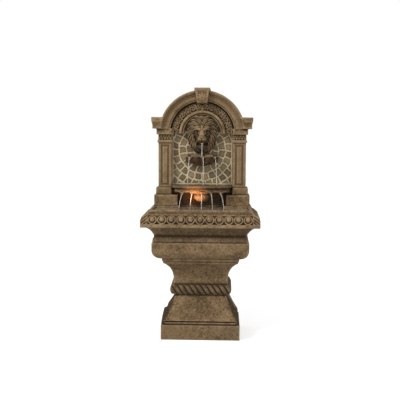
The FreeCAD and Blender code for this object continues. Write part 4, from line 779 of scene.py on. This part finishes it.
def wear_down(obj, depth):
    """Softens the edges of a casting and roughens it with lumps and pits."""
    soften = obj.modifiers.new("soften", "SMOOTH")
    soften.factor = SOFTEN_FACTOR
    soften.iterations = 1
    for label, size, share in WEAR_LAYERS:
        texture = bpy.data.textures.new(f"{obj.name}_{label}", "CLOUDS")
        texture.noise_scale = size
        texture.noise_depth = 2
        wear = obj.modifiers.new(label, "DISPLACE")
        wear.texture = texture
        wear.strength = depth * share
        wear.mid_level = 0.5
    return bake(obj)


def cavity_of(mesh, voxel):
    """How far each vertex stands out of its surroundings, from -1 in hollows to 1 on edges."""
    points = vertex_array(mesh)
    normals = vertex_array(mesh, "normal")
    total = np.zeros(len(points))
    for rounds, full in CAVITY_SCALES:
        height = np.einsum("ij,ij->i", points - neighbour_mean(mesh, points, rounds), normals)
        total += np.clip(height / voxel / full, -1, 1)
    return total / len(CAVITY_SCALES)


def cast(name, node, reliefs=(), shells=(), reshape=None, settle=None, weather=0.0011, tone_shift=unstained):
    """A cast piece in a node's place: its solid, joined with added shells, carved, weathered, and given a
    tone shift that holds stain, painted shade and painted light.

    reshape moves the points of the solid alone, and settle those of the joined surface.
    """
    low, high = box_of(node)
    solid = nodes[node].data.copy()
    if reshape:
        set_vertices(solid, reshape(vertex_array(solid)))
    work = bmesh.new()
    work.from_mesh(solid)
    bpy.data.meshes.remove(solid)
    bmesh.ops.remove_doubles(work, verts=work.verts, dist=1e-6)
    for shell in shells:
        shell(work)
    mesh = mesh_of(work, name)
    mesh.materials.clear()
    obj = new_object(name, mesh)
    voxel = VOXEL[node] * 1
    remesh = obj.modifiers.new("surface", "REMESH")
    remesh.mode = "VOXEL"
    remesh.voxel_size = voxel
    remesh.use_smooth_shade = True
    mesh = bake(obj)
    if settle:
        set_vertices(mesh, settle(vertex_array(mesh)))
    for relief in reliefs:
        points = vertex_array(mesh)
        normals = vertex_array(mesh, "normal")
        set_vertices(mesh, points + normals * relief(points, normals)[:, None])
    mesh = wear_down(obj, weather)
    triangles = 2 * len(mesh.polygons)
    if triangles > TRIANGLE_LIMIT:
        thin = obj.modifiers.new("thin", "DECIMATE")
        thin.ratio = TRIANGLE_LIMIT / triangles
        mesh = bake(obj)
    set_vertices(mesh, np.clip(vertex_array(mesh), low, high))
    set_attribute(mesh, "cavity", cavity_of(mesh, voxel))
    # Tone shift per vertex: above 0 a dark wash that is stain in places and painted shade in others, below
    # 0 paler stone that is painted light in places
    set_attribute(mesh, "tone_shift", tone_shift(vertex_array(mesh)))
    mesh.shade_smooth()
    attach(obj, ROOT_BODY)
    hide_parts(node)
    return obj


# Materials

def add_node(tree, kind, inputs=None, **settings):
    node = tree.nodes.new("ShaderNode" + kind)
    for key, value in settings.items():
        setattr(node, key, value)
    for key, value in (inputs or {}).items():
        if isinstance(value, bpy.types.NodeSocket):
            tree.links.new(value, node.inputs[key])
        else:
            node.inputs[key].default_value = value
    return node


def start_material(name):
    material = bpy.data.materials.new(name)
    material.use_nodes = True
    tree = material.node_tree
    tree.nodes.clear()
    return material, tree


def end_tree(tree, kind, shader):
    output = add_node(tree, kind)
    tree.links.new(shader, output.inputs["Surface"])


def end_principled(tree, **inputs):
    """The tree's shader by its inputs, whose names have _ for each space."""
    values = {name.replace("_", " "): value for name, value in inputs.items()}
    shader = add_node(tree, "BsdfPrincipled", values)
    end_tree(tree, "OutputMaterial", shader.outputs["BSDF"])


def noise_of(tree, scale, detail, roughness, stretch=None):
    """Noise over the surface's own coordinates, in metres, which stretch may draw out."""
    place = add_node(tree, "TexCoord").outputs["Object"]
    if stretch:
        place = add_node(tree, "Mapping", {"Vector": place, "Scale": stretch}).outputs["Vector"]
    values = {"Vector": place, "Scale": scale, "Detail": detail, "Roughness": roughness}
    return add_node(tree, "TexNoise", values).outputs["Fac"]


def attribute_of(tree, name):
    return add_node(tree, "Attribute", attribute_name=name).outputs["Fac"]


def ramp_of(tree, value, *stops):
    """Colour by value: each stop is a position and a colour."""
    ramp = add_node(tree, "ValToRGB", {"Fac": value})
    elements = ramp.color_ramp.elements
    while len(elements) < len(stops):
        elements.new(0.5)
    for element, (position, colour) in zip(elements, stops):
        element.position = position
        element.color = (*colour, 1)
    return ramp.outputs["Color"]


def range_of(tree, value, low, high, to_low=0.0, to_high=1.0):
    """A value from low to high turned into one from to_low to to_high, and held there beyond."""
    values = {"Value": value, "From Min": low, "From Max": high, "To Min": to_low, "To Max": to_high}
    return add_node(tree, "MapRange", values, clamp=True).outputs["Result"]


def math_of(tree, operation, first, second):
    return add_node(tree, "Math", {0: first, 1: second}, operation=operation).outputs["Value"]


def mix_of(tree, share, first, second):
    """A mix of two colours, by the places of a colour mix among the Mix node's sockets."""
    first, second = ((*colour, 1) if isinstance(colour, tuple) else colour for colour in (first, second))
    return add_node(tree, "Mix", {0: share, 6: first, 7: second}, data_type="RGBA").outputs[2]


def layers_over(tree, body, *layers):
    """Colours laid over a body: each by a value, where it starts, where it is in full, and how strong."""
    for value, start, full, strength, colour in layers:
        body = mix_of(tree, range_of(tree, value, start, full, 0.0, strength), body, colour)
    return body


def bump_of(tree, height, distance, strength, below=None):
    values = {"Height": height, "Distance": distance, "Strength": strength}
    if below is not None:
        values["Normal"] = below
    return add_node(tree, "Bump", values).outputs["Normal"]


def cast_stone(name, dark, mid, light, wash_and_shade, dust_and_highlight):
    """Antiqued cast stone: mottled body, dark wash in hollows and stained carving that is in part painted
    shade, painted shade from ambient occlusion, and pale dust on edges that is in part a painted
    highlight.
    """
    material, tree = start_material(name)
    mottle = noise_of(tree, 6.5, 8.0, 0.66)
    blotches = noise_of(tree, 24.0, 6.0, 0.70)
    streaks = noise_of(tree, 26.0, 5.0, 0.6, stretch=(1, 1, 0.16))
    flecks = noise_of(tree, 95.0, 4.0, 0.7)
    grains = noise_of(tree, 260.0, 3.0, 0.7)
    patchy = noise_of(tree, 34.0, 4.0, 0.6)
    tone_shift = attribute_of(tree, "tone_shift")
    cavity = attribute_of(tree, "cavity")
    # Painted shade: ambient occlusion darkens hollows and the stone under overhangs
    occlusion_shade = add_node(tree, "AmbientOcclusion", {"Distance": 0.035}, samples=6).outputs["AO"]
    body = ramp_of(tree, mottle, (0.34, dark), (0.49, mid), (0.64, light))
    body = layers_over(
        tree, body,
        (blotches, 0.52, 0.68, 0.60, dark),
        (blotches, 0.46, 0.32, 0.55, light),
        (streaks, 0.52, 0.78, 0.40, dark),
        (flecks, 0.53, 0.68, 0.75, wash_and_shade),
        (flecks, 0.46, 0.31, 0.70, dust_and_highlight),
        (grains, 0.56, 0.72, 0.40, dust_and_highlight),
        (grains, 0.44, 0.28, 0.50, wash_and_shade),
    )
    # Darkening by the tone shift, which is stain and, in recesses and hollows, painted shade
    stain_and_shade = math_of(tree, "MULTIPLY", tone_shift, range_of(tree, patchy, 0.25, 0.60, 1.0, 0.8))
    body = mix_of(tree, stain_and_shade, body, wash_and_shade)
    # Pale dust on raised edges, in part a painted highlight
    edges = range_of(tree, cavity, 0.06, 0.42, 0.0, 0.70)
    edges = math_of(tree, "MULTIPLY", edges, range_of(tree, patchy, 0.35, 0.62))
    edges = math_of(tree, "MULTIPLY", edges, range_of(tree, tone_shift, 0.5, 1.0, 1.0, 0.0))
    body = mix_of(tree, edges, body, dust_and_highlight)
    body = layers_over(
        tree, body,
        # Painted shade where ambient occlusion finds little open sky
        (occlusion_shade, 0.66, 0.26, 0.70, wash_and_shade),
        # Dark wash in hollows found by the cavity measure, in part painted shade
        (cavity, -0.05, -0.42, 0.90, wash_and_shade),
        # Paler where the tone shift is below 0, in places painted light
        (tone_shift, 0.0, -1.0, 0.8, light),
    )
    rough = range_of(tree, patchy, 0.3, 0.7, 0.72, 0.95)
    normal = bump_of(tree, grains, 0.0012, 0.55)
    normal = bump_of(tree, flecks, 0.0022, 0.45, normal)
    end_principled(tree, Base_Color=body, Roughness=rough, Normal=normal, Specular_IOR_Level=0.25)
    return material


def mosaic_stone(name, shades, pale_fleck, dark_fleck, edge_wash_and_shade, grout):
    """Stones of differing shades, darker towards their edges with wash and painted shade, in stained
    grout.
    """
    material, tree = start_material(name)
    dark, mid, light = shades
    stones = ramp_of(tree, attribute_of(tree, "stone_shade"), (0.0, dark), (0.5, mid), (1.0, light))
    flecks = noise_of(tree, 160.0, 5.0, 0.7)
    stones = layers_over(
        tree, stones,
        (flecks, 0.54, 0.72, 0.6, pale_fleck),
        (flecks, 0.46, 0.28, 0.7, dark_fleck),
        # Stone rims darkened with wash and painted shade where they meet the grout
        (attribute_of(tree, "stone_rim_wash_and_shade"), 0.0, 1.0, 0.75, edge_wash_and_shade),
    )
    tone_shift = noise_of(tree, 30.0, 4.0, 0.6)
    dark_grout, light_grout = grout
    joints = ramp_of(tree, tone_shift, (0.30, dark_grout), (0.60, light_grout))
    body = mix_of(tree, attribute_of(tree, "grout"), stones, joints)
    rough = range_of(tree, tone_shift, 0.3, 0.7, 0.62, 0.9)
    normal = bump_of(tree, flecks, 0.0010, 0.6)
    end_principled(tree, Base_Color=body, Roughness=rough, Normal=normal, Specular_IOR_Level=0.3)
    return material


def worked_metal(name, colour, tarnish, rough):
    """Metal with tarnish in patches and fine scratches."""
    material, tree = start_material(name)
    patches = noise_of(tree, 55.0, 5.0, 0.6)
    scratches = noise_of(tree, 600.0, 2.0, 0.5, stretch=(1, 1, 0.08))
    body = mix_of(tree, range_of(tree, patches, 0.42, 0.68, 0.0, 0.8), colour, tarnish)
    rough = range_of(tree, scratches, 0.3, 0.7, *rough)
    normal = bump_of(tree, scratches, 0.0002, 0.35)
    end_principled(tree, Base_Color=body, Roughness=rough, Normal=normal, Metallic=1.0)
    return material


def moulded(name, colour, worn, rough, grain=420.0):
    """Moulded plastic, rubber or ceramic: fine grain and scuffed patches."""
    material, tree = start_material(name)
    scuffs = noise_of(tree, 38.0, 5.0, 0.65)
    grains = noise_of(tree, grain, 2.0, 0.5)
    body = mix_of(tree, range_of(tree, scuffs, 0.45, 0.75, 0.0, 0.7), colour, worn)
    rough = range_of(tree, scuffs, 0.3, 0.7, *rough)
    normal = bump_of(tree, grains, 0.0003, 0.4)
    end_principled(tree, Base_Color=body, Roughness=rough, Normal=normal)
    return material


def clear_body(name, tint, deep, rough, passing, index=1.33):
    """Water or clear vinyl, a little cloudy in places."""
    material, tree = start_material(name)
    clouds = noise_of(tree, 45.0, 3.0, 0.5)
    body = mix_of(tree, range_of(tree, clouds, 0.35, 0.7), tint, deep)
    rough = range_of(tree, clouds, 0.3, 0.7, *rough)
    normal = bump_of(tree, clouds, 0.0006, 0.25)
    end_principled(tree, Base_Color=body, Roughness=rough, Normal=normal, Transmission_Weight=passing,
                   IOR=index)
    return material


def glowing(name, colour, other, strength):
    """Lamp glass or emitters that shine in two shades of amber."""
    material, tree = start_material(name)
    cells = noise_of(tree, 140.0, 2.0, 0.5)
    body = mix_of(tree, range_of(tree, cells, 0.35, 0.65), colour, other)
    rough = range_of(tree, cells, 0.3, 0.7, 0.12, 0.3)
    end_principled(tree, Base_Color=body, Roughness=rough, Emission_Color=body, Emission_Strength=strength)
    return material


STONE = cast_stone(
    "cast_stone", dark=(0.086, 0.050, 0.021), mid=(0.176, 0.111, 0.052), light=(0.265, 0.175, 0.090),
    wash_and_shade=(0.027, 0.015, 0.006), dust_and_highlight=(0.345, 0.240, 0.135))
MOSAIC = mosaic_stone(
    "mosaic_stone", shades=((0.130, 0.092, 0.045), (0.204, 0.149, 0.077), (0.276, 0.208, 0.114)),
    pale_fleck=(0.34, 0.29, 0.20), dark_fleck=(0.055, 0.042, 0.024), edge_wash_and_shade=(0.040, 0.028, 0.014),
    grout=((0.38, 0.300, 0.180), (0.58, 0.478, 0.315)))
WATER = clear_body("water", (0.72, 0.61, 0.46), (0.56, 0.46, 0.33), rough=(0.03, 0.12), passing=0.76)
STREAM = clear_body("falling_water", (0.98, 0.96, 0.92), (0.92, 0.89, 0.84), rough=(0.06, 0.25),
                    passing=0.60)

# Finishes of the fittings: how each is made, its slot, its two colours and its other looks
FITTINGS = (
    (worked_metal, "brass", (0.150, 0.098, 0.042), (0.045, 0.031, 0.017), {"rough": (0.38, 0.62)}),
    (worked_metal, "bright_steel", (0.62, 0.61, 0.58), (0.38, 0.37, 0.35), {"rough": (0.22, 0.42)}),
    (moulded, "black_rubber", (0.020, 0.020, 0.021), (0.050, 0.049, 0.047), {"rough": (0.62, 0.85)}),
    (moulded, "grey_plastic", (0.105, 0.110, 0.115), (0.165, 0.168, 0.170), {"rough": (0.38, 0.58)}),
    (moulded, "black_plastic", (0.017, 0.017, 0.019), (0.042, 0.042, 0.044), {"rough": (0.34, 0.55)}),
    (moulded, "white_ceramic", (0.78, 0.76, 0.71), (0.64, 0.61, 0.55),
     {"rough": (0.10, 0.25), "grain": 250.0}),
    (clear_body, "clear_vinyl", (0.80, 0.86, 0.82), (0.62, 0.70, 0.65),
     {"rough": (0.12, 0.30), "passing": 0.75, "index": 1.46}),
    (glowing, "amber_glass", (1.0, 0.47, 0.10), (1.0, 0.34, 0.05), {"strength": 2.2}),
    (glowing, "lamp_emitters", (1.0, 0.70, 0.30), (1.0, 0.55, 0.18), {"strength": 3.0}),
)
FINISHES = {"cast_stone": STONE, "mosaic_stone": MOSAIC}
for make, slot, first, second, looks in FITTINGS:
    FINISHES[slot] = make(slot, first, second, **looks)


def dress(obj, material):
    obj.data.materials.clear()
    obj.data.materials.append(material)


def finish_frame():
    """Every node of the frame takes the finish that its slot names."""
    slots = {part["node"]: part["material_slot"] for part in frame["record"]["subparts"]}
    for node, obj in nodes.items():
        for place in obj.material_slots:
            place.material = FINISHES[slots[node]]


def build_castings():
    pieces = [
        cast("cast_pedestal", "pedestal", (rope_band,), (foot_leaves,), tone_shift=pedestal_wash_and_shade),
        cast("cast_basin", "basin", (egg_band,), (rim_leaves,), tone_shift=basin_wash_and_shade),
        cast("cast_backsplash", "backsplash", (arch_scroll, capital_leaves, keystone_palmette),
             tone_shift=backsplash_wash_shade_and_light),
        cast("cast_spill_bowl", "spill_bowl", tone_shift=bowl_stain),
        cast("cast_shell_cup", "shell_cup", (cup_flutes,), (side_scrolls, cup_rim), settle=cup_scallops,
             weather=0.0007, tone_shift=cup_shade),
        cast("carved_lion_mask", "lion_mask", (), (lion_face, lion_mane), reshape=lion_shape,
             weather=0.0006, tone_shift=lion_wash_and_shade),
    ]
    for piece in pieces:
        dress(piece, STONE)
    panel = cast("set_mosaic", "mosaic_panel", (stone_relief,), weather=0.0009)
    dress(panel, MOSAIC)
    inside, number = cobbles(vertex_array(panel.data))
    set_attribute(panel.data, "stone_shade", by_stone(number, SHADE_SEED, 0, 1))
    # Share of dark wash and painted shade at each stone's rim
    set_attribute(panel.data, "stone_rim_wash_and_shade", 1 - soft_step(inside, *STONE_EDGE))
    set_attribute(panel.data, "grout", 1 - soft_step(inside, *GROUT_EDGE))


# Water

BASIN_LEVEL = 0.6700
BOWL_LEVEL = 0.781
CUP_LEVEL = CUP_RIM - 0.012
POOL_SPOKES = 180
POOL_RINGS = 44
POOL_GAP = 0.0004
POOL_THICK = 0.004
BASIN_THICK = 0.0022
BASIN_MIDDLE = (0, 0.02)
FALL_STEPS = 60

# Stream from the lion's mouth: how far below the middle of the head and off the pipe, speed and radius
MOUTH_DROP = 0.049
MOUTH_GAP = 0.004
MOUTH_PUSH = (0, -0.06, 0.0)
MOUTH_RADIUS = 0.0028

# Streams of the cup: height of its wall, where they start inside of it and leave outside, speed and radius
CUP_WALL = CUP_RIM - 0.018
CUP_INLET = 0.014
CUP_OUTLET = 0.010
CUP_SPREAD = 0.9
CUP_PUSH = -0.05
CUP_RADIUS = 0.0019

# Streams of the bowl: pitch, distance behind its front and height of each lip's inlet and tip, then speed
BOWL_STREAMS = 5
LIP_INLET = (0.0430, 0.036, 0.7680)
LIP_TIP = (0.0500, 0.0115, 0.7440)
LIP_PUSH = (0.075, -0.20, -0.12)
LIP_RADIUS = 0.0021


def water_piece(work, name, material):
    mesh = mesh_of(work, name)
    mesh.shade_smooth()
    obj = new_object(name, mesh)
    dress(obj, material)
    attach(obj, ROOT_BODY)


def ripple(spot, landings):
    """How far rings that spread from where streams land lift the water."""
    rise, length, reach = 0.0006, 0.0032, 0.022
    lift = 0.0
    for landing in landings:
        away = math.hypot(spot.x - landing.x, spot.y - landing.y)
        lift += rise * math.cos(away / length) * math.exp(-away / reach)
    return lift


def pool(name, node, centre, level, landings, thick=POOL_THICK):
    """Still water up to the walls around its centre, with rings where streams land."""
    walls = node_tree(node)
    start = Vector((*centre, level - thick / 2))
    turns = np.linspace(0, 2 * math.pi, POOL_SPOKES, endpoint=False)
    ways = [Vector((math.cos(turn), math.sin(turn), 0)) for turn in turns]
    reaches = [walls.ray_cast(start, way)[3] - POOL_GAP for way in ways]
    work = bmesh.new()
    layers = []
    for depth, marks in ((0, landings), (thick, ())):
        rows = []
        for ring in range(1, POOL_RINGS + 1):
            spots = [start + way * reach * ring / POOL_RINGS for way, reach in zip(ways, reaches)]
            rows.append([work.verts.new((spot.x, spot.y, level - depth + ripple(spot, marks)))
                         for spot in spots])
        middle = work.verts.new((*centre, level - depth))
        layers.append((middle, rows))
    for flip, (middle, rows) in enumerate(layers):
        for spoke in range(POOL_SPOKES):
            after = (spoke + 1) % POOL_SPOKES
            faces = [(middle, rows[0][spoke], rows[0][after])]
            for row, wider in zip(rows, rows[1:]):
                faces.append((row[spoke], wider[spoke], wider[after], row[after]))
            for face in faces:
                work.faces.new(face[::-1] if flip else face)
    top, bottom = (rows[-1] for _, rows in layers)
    for spoke in range(POOL_SPOKES):
        after = (spoke + 1) % POOL_SPOKES
        work.faces.new((top[spoke], bottom[spoke], bottom[after], top[after]))
    water_piece(work, name, WATER)


def fall(start, push, level):
    """Places of water that leaves start with a speed and falls to a level."""
    height = start.z - level
    time = (push.z + math.sqrt(push.z ** 2 + 2 * GRAVITY * height)) / GRAVITY
    places = []
    for step in range(FALL_STEPS + 1):
        now = time * step / FALL_STEPS
        places.append(start + push * now - Vector((0, 0, GRAVITY * now ** 2 / 2)))
    return places


def stream(name, start, push, level, thick, lead=()):
    """A falling stream, drawn thinner and beaded as it goes, and where it lands."""
    places = [Vector(point) for point in lead] + fall(Vector(start), Vector(push), level)
    radii = []
    for index in range(len(places)):
        share = index / (len(places) - 1)
        beads = 0.20 * math.sin(34 * share + 40 * start[0]) + 0.12 * math.sin(57 * share + 25 * start[0])
        radii.append(thick * (1 - 0.34 * share) * (1 + beads))
    work = bmesh.new()
    strand(work, places, radii, 12)
    water_piece(work, name, STREAM)
    return places[-1]


def build_water():
    mouth = (0, box_of("spout_pipe")[0].y - MOUTH_GAP, LION_CENTRE - MOUTH_DROP)
    in_cup = [stream("mouth_stream", mouth, MOUTH_PUSH, CUP_LEVEL, MOUTH_RADIUS)]
    cup_low, cup_high = box_of("shell_cup")
    cup_walls = node_tree("shell_cup")
    in_bowl = []
    for index, x in enumerate(CUP_SPOUTS):
        wall = cup_walls.ray_cast(Vector((x, cup_low.y - 0.1, CUP_WALL)), Vector((0, 1, 0)))[0]
        inlet = (CUP_SPREAD * x, wall.y + CUP_INLET, CUP_LEVEL)
        lip = (x, wall.y - CUP_OUTLET, CUP_LEVEL)
        push = (CUP_SPREAD * x, CUP_PUSH, 0.0)
        in_bowl.append(stream(f"cup_stream_{index + 1}", lip, push, BOWL_LEVEL, CUP_RADIUS, (inlet,)))
    bowl_low, bowl_high = box_of("spill_bowl")
    in_basin = []
    for index in range(BOWL_STREAMS):
        lean = index - BOWL_STREAMS // 2
        inlet, tip = ((lean * pitch, bowl_low.y + behind, z) for pitch, behind, z in (LIP_INLET, LIP_TIP))
        push = (LIP_PUSH[0] * lean, *LIP_PUSH[1:])
        in_basin.append(stream(f"bowl_stream_{index + 1}", tip, push, BASIN_LEVEL, LIP_RADIUS, (inlet,)))
    pool("cup_water", "shell_cup", (0, (cup_low.y + cup_high.y) / 2), CUP_LEVEL, in_cup)
    pool("bowl_water", "spill_bowl", (0, (bowl_low.y + bowl_high.y) / 2), BOWL_LEVEL, in_bowl)
    pool("basin_water", "basin", BASIN_MIDDLE, BASIN_LEVEL, in_basin, BASIN_THICK)


# Stage, light and camera

CAMERA_DISTANCE = 3.735
CAMERA_HEIGHT = 1.080
CAMERA_AZIMUTH = math.radians(1.8)
CAMERA_YAW = math.radians(0.11)
CAMERA_PITCH = math.radians(5.58)
CAMERA_ROLL = math.radians(0.3)
FOCAL_PIXELS = 722.8
IMAGE_PIXELS = 400
SENSOR = 36.0

WHITE = (1, 1, 1, 1)
FLOOR_COLOUR = (0.62, 0.62, 0.62, 1)
FLOOR_HALF = 9.0
FLOOR_GLOW = 0.60
AMBIENT = 0.70
AMBER = (1.0, 0.52, 0.27)


def seen_directly(tree):
    """1 for rays that look at the surface straight, in a mirror or through glass."""
    path = add_node(tree, "LightPath")
    seen = path.outputs["Is Camera Ray"]
    for name in ("Is Glossy Ray", "Is Transmission Ray"):
        seen = math_of(tree, "MAXIMUM", seen, path.outputs[name])
    return seen


def build_floor():
    """A pale floor that looks white and keeps the shadow."""
    work = bmesh.new()
    bmesh.ops.create_grid(work, x_segments=8, y_segments=8, size=FLOOR_HALF)
    floor = new_object("floor", mesh_of(work, "floor"))
    material, tree = start_material("floor_white")
    matte = add_node(tree, "BsdfDiffuse", {"Color": FLOOR_COLOUR}).outputs["BSDF"]
    glow = add_node(tree, "Emission", {"Color": WHITE, "Strength": FLOOR_GLOW}).outputs["Emission"]
    both = add_node(tree, "AddShader", {0: matte, 1: glow}).outputs["Shader"]
    shader = add_node(tree, "MixShader", {0: seen_directly(tree), 1: matte, 2: both}).outputs["Shader"]
    end_tree(tree, "OutputMaterial", shader)
    floor.data.materials.append(material)


def build_world():
    """White where it is seen, and a plain soft light on the object."""
    world = bpy.data.worlds.new("studio")
    world.use_nodes = True
    tree = world.node_tree
    tree.nodes.clear()
    lit, seen = (add_node(tree, "Background", {"Color": WHITE, "Strength": strength}).outputs["Background"]
                 for strength in (AMBIENT, 1.0))
    shader = add_node(tree, "MixShader", {0: seen_directly(tree), 1: lit, 2: seen}).outputs["Shader"]
    end_tree(tree, "OutputWorld", shader)
    bpy.context.scene.world = world


def new_light(name, kind, place, target, power):
    data = bpy.data.lights.new(name, kind)
    data.energy = power
    lamp = new_object(name, data)
    lamp.location = place
    lamp.rotation_euler = (Vector(target) - lamp.location).to_track_quat("-Z", "Y").to_euler()
    return data


def soft_light(name, place, target, size, power):
    data = new_light(name, "AREA", place, target, power)
    data.shape = "DISK"
    data.size = size


def amber_light(name, place, target, power, cone):
    """Light of the fountain's own lamp."""
    data = new_light(name, "SPOT", place, target, power)
    data.color = AMBER
    data.spot_size = math.radians(cone)
    data.spot_blend = 0.8
    data.shadow_soft_size = 0.020


def build_lights():
    soft_light("key", (-2.7, -2.3, 3.6), (0, 0, 0.75), size=1.4, power=129)
    soft_light("fill", (2.4, -3.0, 1.2), (0, 0, 0.55), size=2.4, power=12)
    amber_light("amber_beam", (-0.052, 0.058, 0.676), (-0.024, 0.055, 0.765),
                power=1.0, cone=120)
    amber_light("amber_haze", (-0.036, -0.040, 0.705), (-0.035, 0.030, 0.750),
                power=1.35, cone=86)


def build_camera():
    data = bpy.data.cameras.new("view")
    data.sensor_width = SENSOR
    data.lens = FOCAL_PIXELS / IMAGE_PIXELS * SENSOR
    camera = new_object("view", data)
    camera.location = (CAMERA_DISTANCE * math.sin(CAMERA_AZIMUTH),
                       -CAMERA_DISTANCE * math.cos(CAMERA_AZIMUTH),
                       CAMERA_HEIGHT)
    level = Euler((math.pi / 2 - CAMERA_PITCH, 0, CAMERA_AZIMUTH + CAMERA_YAW)).to_matrix()
    camera.rotation_euler = (level @ Matrix.Rotation(CAMERA_ROLL, 3, "Z")).to_euler()
    bpy.context.scene.camera = camera


finish_frame()
build_castings()
build_water()
build_floor()
build_world()
build_lights()
build_camera()
bpy.context.scene.view_settings.view_transform = "Standard"
